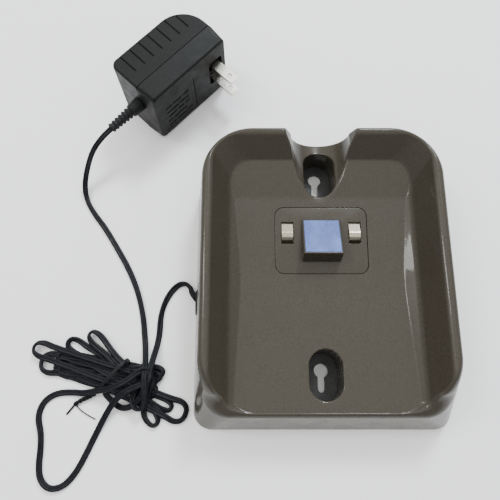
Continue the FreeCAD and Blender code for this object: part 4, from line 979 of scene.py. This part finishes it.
def cord_mesh(name, line):
    section = flex_section()
    tangent, side, upward = along_line(line)
    roll = cord_roll(line, tangent)
    wide = side * np.cos(roll)[:, None] + upward * np.sin(roll)[:, None]
    thick = np.cross(wide, tangent)
    half_height = CORE_RADIUS + CORE_OFFSET * np.abs(np.sin(roll))
    low_place = np.clip((3.2 - line[:, 2]) / 1.2, 0.0, 1.0)
    drop = np.clip(line[:, 2] - half_height - 0.03, -0.8, 0.9) * low_place
    middle = line - np.stack([0 * drop, 0 * drop, drop], axis=1)
    rings = (middle[:, None, :] + wide[:, None, :] * section[None, :, :1]
             + thick[:, None, :] * section[None, :, 1:])
    return stack(name, [[tuple(p) for p in ring] for ring in rings])


cord = settle_object(cord_mesh("supply_cord", cord_line), FINISHES["cord_black"], "stand",
                     ("cord_to_adapter", "cord_to_cradle", "cord_big_loop", "cord_hank"))

# %% [markdown]
# ## Twist tie
# The factory tie is a paper-thin strip with a wire down its middle. It wraps once round the bundle,
# its two ends are twisted into a knot on the low side, and the free ends stray over the table. Here
# the strip runs up one side of the bundle, over it, down the other side and a little way under, and
# the knot is two strands wound about one another.

# %% Tie strip
TIE_WIDTH, TIE_THICK, TIE_RIDGE = 2.0, 0.35, 0.45
RIDGE_HALF = 0.42
BUNDLE_TOP = 9.6


def ribbon(name, line, across, width, thick, ridge):
    """Strip along a line in millimetres; across gives its width direction at each point."""
    outward = np.cross(across, tangents(line))
    half, lift = width / 2.0, thick / 2.0
    section = [(-half, -lift), (half, -lift), (half, lift), (RIDGE_HALF, lift), (0.0, lift + ridge),
               (-RIDGE_HALF, lift), (-half, lift)]
    rings = [[tuple(line[i] + across[i] * a + outward[i] * b) for a, b in section]
             for i in range(len(line))]
    return stack(name, rings)


def settle_tie(piece):
    return settle_object(piece, FINISHES["tie_black"], "stand", ("twist_tie",))


def tie_loop_line():
    """The strip's way round the bundle: up one side, over the top, down the other, a little under."""
    start = Vector((*TIE_START, 0.0))
    span = (TIE_END - TIE_START).to_3d()
    profile = [(0.02, 0.6), (-0.045, 2.6), (-0.03, 5.6), (0.06, 8.2), (0.22, 9.5), (0.42, BUNDLE_TOP),
               (0.64, 9.3), (0.84, 7.6), (0.97, 5.2), (1.035, 3.0), (1.02, 0.9), (0.9, 0.42)]
    return spline_points("tie_guide", [tuple(start + span * share + Vector((0, 0, z)))
                                       for share, z in profile], 6)


tie_line = tie_loop_line()
tie_across = np.tile((-TIE_ACROSS.y, TIE_ACROSS.x, 0.0), (len(tie_line), 1))
tie_strip = ribbon("twist_tie_strip", tie_line, tie_across, TIE_WIDTH, TIE_THICK, TIE_RIDGE)
settle_tie(bevel(tie_strip, 0.08, 2))


# %% Knot and free ends
def round_strand(name, line, radius, sides=10):
    """Round wire along a line in millimetres."""
    _, side, upward = along_line(line, (0.12, 0.07, 1.0))
    angles = [2.0 * math.pi * k / sides for k in range(sides)]
    rings = [[tuple(line[i] + radius * (side[i] * math.cos(a) + upward[i] * math.sin(a))) for a in angles]
             for i in range(len(line))]
    return stack(name, rings)


def twisted_pair(name, controls, turns, offset, radius):
    """Two wires wound about the middle line, as one mesh."""
    middle = spline_points(name + "_guide", controls, 14)
    _, side, upward = along_line(middle)
    angle = np.linspace(0.0, 2.0 * math.pi * turns, len(middle))
    wires = []
    for phase in (0.0, math.pi):
        swing = side * np.cos(angle + phase)[:, None] + upward * np.sin(angle + phase)[:, None]
        wires.append(round_strand(name, middle + offset * swing, radius))
    return merge(name, wires)


def merge(name, pieces):
    """Several meshes as one object."""
    verts, faces = [], []
    for piece in pieces:
        start = len(verts)
        verts += [tuple(v.co / MM) for v in piece.data.vertices]
        faces += [tuple(start + i for i in face.vertices) for face in piece.data.polygons]
        bpy.data.objects.remove(piece)
    return new_object(name, verts, faces)


knot = twisted_pair("twist_tie_knot", [
    (-124.4, -61.0, 2.6), (-127.6, -63.0, 1.9), (-131.0, -64.6, 1.6), (-134.6, -66.0, 1.5),
    (-137.6, -68.2, 1.3)], 3.2, 0.62, 0.72)
settle_tie(knot)
long_end = round_strand("twist_tie_end_long", spline_points("end_guide", [
    (-137.2, -67.6, 1.2), (-138.6, -69.2, 0.8), (-140.2, -71.4, 0.6), (-141.9, -73.4, 0.6)], 8), 0.55)
settle_tie(long_end)
wire_end = round_strand("twist_tie_wire", spline_points("wire_guide", [
    (-137.0, -68.0, 1.1), (-135.4, -70.2, 0.6), (-132.2, -72.6, 0.45), (-128.6, -74.6, 0.45),
    (-125.6, -76.0, 0.6)], 8), 0.32)
settle_tie(wire_end)
head_knot = twisted_pair("twist_tie_bend", [
    (-111.2, -47.4, 8.4), (-109.2, -45.4, 8.0), (-107.8, -45.0, 6.6), (-108.0, -46.6, 5.6)],
    1.2, 0.5, 0.75)
settle_tie(head_knot)

# %% [markdown]
# ## Contact panel, hook and painted reflection
# The panel is a separate insert, so a fine dark seam shows all round it. Its edge is rolled a little,
# which is what makes that seam read as a line. The hook is a wedge with softened edges, and a blue
# sheet in a shallow recess in its ramp is a painted reflection of the bright window in the glossy ramp.
# All of it is drawn flat and then tilted with the floor.

# %% Contact panel
WINDOW_OFFSET, WINDOW_HALF, WINDOW_LONG, WINDOW_AHEAD = 18.9, 3.55, 6.3, 4.3
EDGE_ROLL = 0.32


def rolled_plate(name, half, front, back, radius, low, high, roll, steps=4):
    """Plate whose upper edge is rolled over."""
    levels = [(0.0, low), (0.0, high - roll)]
    for i in range(1, steps + 1):
        angle = math.pi / 2.0 * i / steps
        levels.append((roll * (1.0 - math.cos(angle)), high - roll + roll * math.sin(angle)))
    rings = []
    for inset, z in levels:
        plan = rounded_plate(half - inset, front + inset, back - inset, radius - inset, 10)
        rings.append([(x, y, z) for x, y in plan])
    return stack(name, rings)


panel = rolled_plate("contact_panel_insert", PANEL_HALF, -PANEL_LONG, PANEL_LONG, PANEL_CORNER,
                     -PANEL_THICK, 0.0, EDGE_ROLL)
for side in (-1, 1):
    middle = side * WINDOW_OFFSET
    carve(panel, block("window", (middle - WINDOW_HALF, WINDOW_AHEAD - WINDOW_LONG, -4.0),
                       (middle + WINDOW_HALF, WINDOW_AHEAD + WINDOW_LONG, 2.0)))
panel = place(bevel(panel, 0.10, 2, 50.0), PANEL_FRAME)
settle_object(panel, FINISHES["shell_gloss"], "stand", ("contact_panel",))

# %% Hook and the blue painted reflection on its ramp
HOOK_HALF, HOOK_HEIGHT, HOOK_BACK_HEIGHT = 10.75, 11.0, 1.6
HOOK_FOOT, HOOK_TIP, HOOK_BACK = -12.4, -10.0, 11.8
HOOK_LIFT = 0.02                    # keeps the hook's foot clear of the panel's face
# the blue sheet set into the ramp paints the window's reflection; these set it in, sink it and raise it
REFLECTION_SHEET_INSET, REFLECTION_SHEET_DEPTH, REFLECTION_SHEET_PROUD, REFLECTION_SHEET_GAP = 0.9, 0.7, 0.15, 0.05
RAMP_RUN, RAMP_FALL = HOOK_BACK - HOOK_TIP, HOOK_HEIGHT - HOOK_BACK_HEIGHT
RAMP_LENGTH = math.hypot(RAMP_RUN, RAMP_FALL)


def wedge(name, profile, half):
    """Block whose side outline is given in Y and Z."""
    return stack(name, [[(x, y, z) for y, z in profile] for x in (-half, half)], False)


def on_ramp(along, out):
    """Point on the hook's ramp: along it from the tip, and out from its face."""
    return (HOOK_TIP + (RAMP_RUN * along + RAMP_FALL * out) / RAMP_LENGTH,
            HOOK_HEIGHT + (RAMP_RUN * out - RAMP_FALL * along) / RAMP_LENGTH)


def ramp_block(name, inset, low, high):
    """Block on the ramp, set in from its edges on all four sides."""
    corners = ((inset, low), (RAMP_LENGTH - inset, low), (RAMP_LENGTH - inset, high), (inset, high))
    return wedge(name, [on_ramp(*corner) for corner in corners], HOOK_HALF - inset)


hook = wedge("support_hook_wedge", [(HOOK_FOOT, HOOK_LIFT), (HOOK_BACK, HOOK_LIFT),
                                    (HOOK_BACK, HOOK_BACK_HEIGHT), (HOOK_TIP, HOOK_HEIGHT)], HOOK_HALF)
hook = bevel(hook, 0.55, 4)
# the recess seats the blue sheet that paints the window's reflection
carve(hook, ramp_block("recess", REFLECTION_SHEET_INSET - REFLECTION_SHEET_GAP, -REFLECTION_SHEET_DEPTH, 3.0))
settle_object(place(hook, PANEL_FRAME), FINISHES["shell_gloss"], "stand", ("support_hook",))

# blue sheet on the ramp: a painted reflection of the bright window in the glossy plastic
pad = ramp_block("hook_painted_reflection", REFLECTION_SHEET_INSET, -REFLECTION_SHEET_DEPTH, REFLECTION_SHEET_PROUD)
pad = place(bevel(pad, 0.22, 3), PANEL_FRAME)
settle_object(pad, FINISHES["pad_blue"], "stand", ("hook_pad",))

# %% [markdown]
# ## Sprung contacts
# Each contact is a strip of plated spring metal, bent three times. The two bends at its crest catch the
# light as two bright lines, so the bends have real radii here. The strips turn about their roots, so
# they ride on their own bodies.

# %% Contact strips
STRIP_HALF, STRIP_THICK, ROOT_Y, ROOT_Z, BEND_RADIUS = 3.15, 0.4, -4.7, -3.5, 0.9
STRIP_WAY = ((0.0, 0.0), (2.8, 0.3), (6.3, 4.6), (8.9, 4.8), (14.4, 2.5))


def round_bends(points, radius, steps=6):
    """Polyline with each inner corner replaced by an arc."""
    spots = [Vector(p) for p in points]
    line = [spots[0]]
    for before, here, after in zip(spots, spots[1:], spots[2:]):
        back, ahead = (before - here).normalized(), (after - here).normalized()
        half_turn = (math.pi - back.angle(ahead)) / 2.0
        reach = radius * math.tan(half_turn)
        middle = here + (back + ahead).normalized() * (radius / math.cos(half_turn))
        first, last = here + back * reach - middle, here + ahead * reach - middle
        for i in range(steps + 1):
            spoke = first.lerp(last, i / steps).normalized() * radius
            line.append(middle + spoke)
    return line + [spots[-1]]


def contact_strip(name):
    line = round_bends([(ROOT_Y + y, ROOT_Z + z) for y, z in STRIP_WAY], BEND_RADIUS)
    upper, lower = [], []
    for i, spot in enumerate(line):
        way = (line[min(i + 1, len(line) - 1)] - line[max(i - 1, 0)]).normalized()
        aside = Vector((-way.y, way.x)) * STRIP_THICK / 2.0
        upper.append(tuple(spot + aside))
        lower.append(tuple(spot - aside))
    return bevel(wedge(name, upper[::-1] + lower, STRIP_HALF), 0.08, 2, 60.0)


for side, body, node in ((-1, "left_strip", "contact_left"), (1, "right_strip", "contact_right")):
    strip = contact_strip("sprung_" + node)
    strip = place(strip, PANEL_FRAME @ Matrix.Translation((side * WINDOW_OFFSET * MM, 0, 0)))
    settle_object(strip, FINISHES["contact_nickel"], body, (node,))

# %% [markdown]
# ## Wall adapter
# The adapter is two mouldings. The front one holds the blades and is drafted so that it leaves its
# mould; the rear one is a plan outline with one big and one small corner, rounded over at top and
# bottom. A narrow step round the front moulding's back makes the seam between them. All of it is
# drawn in the adapter's own frame, with X along its length and Y into its depth, and then turned
# into place.

# %% Adapter sizes
ADAPTER_CORNER, ADAPTER_TURN = (-95.7, 95.5, 0.0), 46.1
ADAPTER_FRAME = (Matrix.Translation([c * MM for c in ADAPTER_CORNER])
                 @ Matrix.Rotation(math.radians(ADAPTER_TURN), 4, "Z"))
LENGTH, DEPTH, HEIGHT, SEAM, DRAFT = 60.0, 36.0, 46.0, 13.5, 1.0
FAR_CORNER, NEAR_CORNER, SEAM_STEP, BLADE_X, BLADE_GAP = 18.0, 5.0, 0.4, 50.0, 12.7
BLADE_LEVELS = (HEIGHT / 2.0 - BLADE_GAP / 2.0, HEIGHT / 2.0 + BLADE_GAP / 2.0)


def front_ring(y, inset, radius):
    """Outline of the front moulding at one depth."""
    plan = rounded_plate(LENGTH / 2.0 - inset, inset, HEIGHT - inset, radius, 5)
    return [(x + LENGTH / 2.0, y, z) for x, z in plan]


def quarter(steps):
    return [math.pi / 2.0 * i / steps for i in range(steps + 1)]


# %% Front moulding
FRONT_ROLL, FRONT_CORNER, SEAM_DEPTH, SEAM_WIDTH = 1.5, 3.0, 1.2, 0.5
rings = [front_ring(SEAM, SEAM_DEPTH, 1.9), front_ring(SEAM - SEAM_WIDTH, SEAM_DEPTH, 1.9),
         front_ring(SEAM - SEAM_WIDTH, 0.15, 2.9), front_ring(SEAM - SEAM_WIDTH - 0.2, 0.0, FRONT_CORNER)]
for angle in reversed(quarter(6)):
    inset = DRAFT + FRONT_ROLL * (1.0 - math.sin(angle))
    rings.append(front_ring(FRONT_ROLL * (1.0 - math.cos(angle)), inset, FRONT_CORNER))
front_moulding = stack("adapter_front_moulding", rings)

WELL_DEPTH, WELL_RIB_PITCH, WELL_RIB_HALF = 2.6, 1.9, 0.35
well_plan = rounded_plate(5.4, BLADE_LEVELS[0] - 3.6, BLADE_LEVELS[1] + 4.4, 2.4, 6)
well_rings = [[(x + BLADE_X, y, z) for x, z in well_plan] for y in (WELL_DEPTH, -1.0)]
carve(front_moulding, stack("blade_well", well_rings))

# plain bars in a plain corner frame, in place of a rating label: each row's inset, then bar lengths
LABEL_X, LABEL_Z, LABEL_DEPTH, FRAME_LINE = 8.0, 8.5, 0.35, 0.6
ROW_PITCH, BAR_HEIGHT, BAR_GAP = 4.6, 1.9, 1.4
BAR_ROWS = ((0.0, 7.0, 9.0, 5.5), (0.0, 5.0, 12.0), (1.0, 8.0, 6.0, 5.0), (0.0, 11.0, 8.5),
            (0.0, 6.0, 8.0, 6.0))
frame_low, frame_right = LABEL_Z - 3.0, LABEL_X + 24.0
engravings = [(LABEL_X - 2.0, frame_right, frame_low, frame_low + FRAME_LINE),
              (frame_right - FRAME_LINE, frame_right, frame_low, LABEL_Z + 26.0)]
for row, (start, *lengths) in enumerate(BAR_ROWS):
    x, z = LABEL_X + start, LABEL_Z + ROW_PITCH * row
    for length in lengths:
        engravings.append((x, x + length - BAR_GAP, z, z + BAR_HEIGHT))
        x += length
for x0, x1, z0, z1 in engravings:
    carve(front_moulding, block("engraving", (x0, -1.0, z0), (x1, LABEL_DEPTH, z1)))

ribs = []
for row in (-1, 0, 1):
    z = HEIGHT / 2.0 + WELL_RIB_PITCH * row
    ribs.append(block("rib", (BLADE_X - 5.6, 0.5, z - WELL_RIB_HALF),
                      (BLADE_X - 1.2, 2.8, z + WELL_RIB_HALF)))
front_moulding = crisp(merge("adapter_front_moulding", [front_moulding] + ribs))
place(front_moulding, ADAPTER_FRAME)
settle_object(front_moulding, FINISHES["adapter_black"], "stand", ("adapter_front_housing",))


# %% Rear moulding
REAR_ROLL, GROOVE_COUNT, GROOVE_PITCH, GROOVE_FIRST, GROOVE_REACH = 2.0, 7, 7.0, 7.9, 15.0
GROOVE_HALF, GROOVE_DEPTH, BACK_GROOVE_HALF, BACK_GROOVE_DEPTH = 0.55, 0.55, 1.1, 0.8


def rear_ring(z, inset):
    """Plan outline with a big far corner and a small near one; the seam side stays put."""
    x0, x1, y1 = SEAM_STEP + inset, LENGTH - SEAM_STEP - inset, DEPTH - inset
    points = [(x0, SEAM, z), (x1, SEAM, z)]
    for radius, cx, start in ((FAR_CORNER - inset, x1, 0.0), (NEAR_CORNER - inset, x0, 90.0)):
        middle = cx - radius if start == 0.0 else cx + radius
        for i in range(17):
            angle = math.radians(start + 90.0 * i / 16)
            points.append((middle + radius * math.cos(angle), y1 - radius + radius * math.sin(angle), z))
    return points


rolled = [(REAR_ROLL * (1.0 - math.sin(a)), REAR_ROLL * (1.0 - math.cos(a))) for a in quarter(6)]
rings = [rear_ring(SEAM_STEP + fall, inset) for fall, inset in rolled[::-1]]
rings += [rear_ring(HEIGHT - SEAM_STEP - fall, inset) for fall, inset in rolled]
rear_moulding = stack("adapter_rear_moulding", rings)


def groove(name, start, end, out, half, depth):
    """V-shaped cutter along a straight line; out points away from the face."""
    start, end, out = Vector(start), Vector(end), Vector(out)
    aside = (end - start).normalized().cross(out)
    rings = []
    for spot in (start, end):
        rings.append([tuple(spot - out * depth), tuple(spot + out * depth - aside * 2.0 * half),
                      tuple(spot + out * depth + aside * 2.0 * half)])
    return stack(name, rings, False)


for i in range(GROOVE_COUNT):
    x = GROOVE_FIRST + GROOVE_PITCH * i
    for z, up in ((HEIGHT - SEAM_STEP, 1), (SEAM_STEP, -1)):
        carve(rear_moulding, groove("flat_groove", (x, DEPTH - GROOVE_REACH, z), (x, DEPTH + 1, z),
                                    (0, 0, up), GROOVE_HALF, GROOVE_DEPTH))
    if x < LENGTH - FAR_CORNER:
        carve(rear_moulding, groove("back_groove", (x, DEPTH, -1), (x, DEPTH, HEIGHT + 1),
                                    (0, 1, 0), BACK_GROOVE_HALF, BACK_GROOVE_DEPTH))
place(crisp(rear_moulding), ADAPTER_FRAME)
settle_object(rear_moulding, FINISHES["adapter_black"], "stand", ("adapter_rear_housing",))

# %% Blades
BLADE_WIDTH, BLADE_THICK, BLADE_OUT, BLADE_IN, BLADE_TIP = 6.35, 1.5, 17.0, 6.0, 1.5
BLADE_HOLE, BLADE_HOLE_OUT = 1.6, 12.0
for level, node in zip(BLADE_LEVELS, ("blade_lower", "blade_upper")):
    plan = rounded_plate(BLADE_WIDTH / 2.0, -BLADE_OUT, BLADE_IN, BLADE_TIP, 5)
    blade = stack("flat_" + node, [[(x + BLADE_X, y, level + z) for x, y in plan]
                                   for z in (-BLADE_THICK / 2.0, BLADE_THICK / 2.0)])
    turn = [2.0 * math.pi * i / 24 for i in range(24)]
    hole = [(BLADE_X + BLADE_HOLE * math.cos(a), -BLADE_HOLE_OUT + BLADE_HOLE * math.sin(a)) for a in turn]
    carve(blade, stack("hole", [[(x, y, level + z) for x, y in hole] for z in (-2.0, 2.0)]))
    place(crisp(bevel(blade, 0.18, 2)), ADAPTER_FRAME)
    settle_object(blade, FINISHES["blade_brass_nickel"], "stand", (node,))

# %% [markdown]
# ## Strain relief
# The boot is turned from one outline: a thick collar against the housing, a slim core, and rounded
# ribs that shrink towards the cord so that the cord bends gradually where it leaves the adapter.

# %% Ribbed boot
BOOT_Z, BOOT_LENGTH, BOOT_COLLAR, BOOT_CORE, BOOT_RIBS = 29.0, 23.5, 8.0, 2.6, 6


def turned(name, outline, sides=40):
    """Solid turned about the boot's axis from (distance out of the housing, radius) pairs."""
    rings = []
    for out, radius in outline:
        rings.append([(-out, SEAM + radius * math.cos(a), BOOT_Z + radius * math.sin(a))
                      for a in (2.0 * math.pi * i / sides for i in range(sides))])
    return stack(name, rings[::-1])


RIB_RADIUS, RIB_TAPER, CORE_TAPER, RIB_EDGE = 3.55, 0.13, 0.05, 0.35
outline = [(-1.6, 3.4), (0.0, 3.4), (0.05, 4.3), (0.35, 4.4), (6.6, 4.05), (7.3, 3.9), (7.8, 3.4),
           (8.0, 2.7)]
rib_pitch = (BOOT_LENGTH - BOOT_COLLAR) / BOOT_RIBS
for i in range(BOOT_RIBS):
    middle, half = BOOT_COLLAR + rib_pitch * (i + 0.62), rib_pitch * 0.27
    rib, core = RIB_RADIUS - RIB_TAPER * i, BOOT_CORE - CORE_TAPER * i
    outline += [(middle - half - 0.12, core), (middle - half, rib - RIB_EDGE),
                (middle - half + 0.3, rib), (middle + half - 0.3, rib),
                (middle + half, rib - RIB_EDGE), (middle + half + 0.12, core)]
outline += [(BOOT_LENGTH - 0.1, 2.1), (BOOT_LENGTH, 1.9)]
boot = place(turned("ribbed_boot", outline), ADAPTER_FRAME)
settle_object(boot, FINISHES["soft_black"], "stand", ("adapter_boot",))

# %% [markdown]
# ## Boxes of the CAD model and of the finished scene
# Both boxes are printed in metres.

for title, low_high in (("CAD", (cad_low, cad_high)), ("whole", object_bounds())):
    print(title, [tuple(round(c, 4) for c in spot) for spot in low_high])
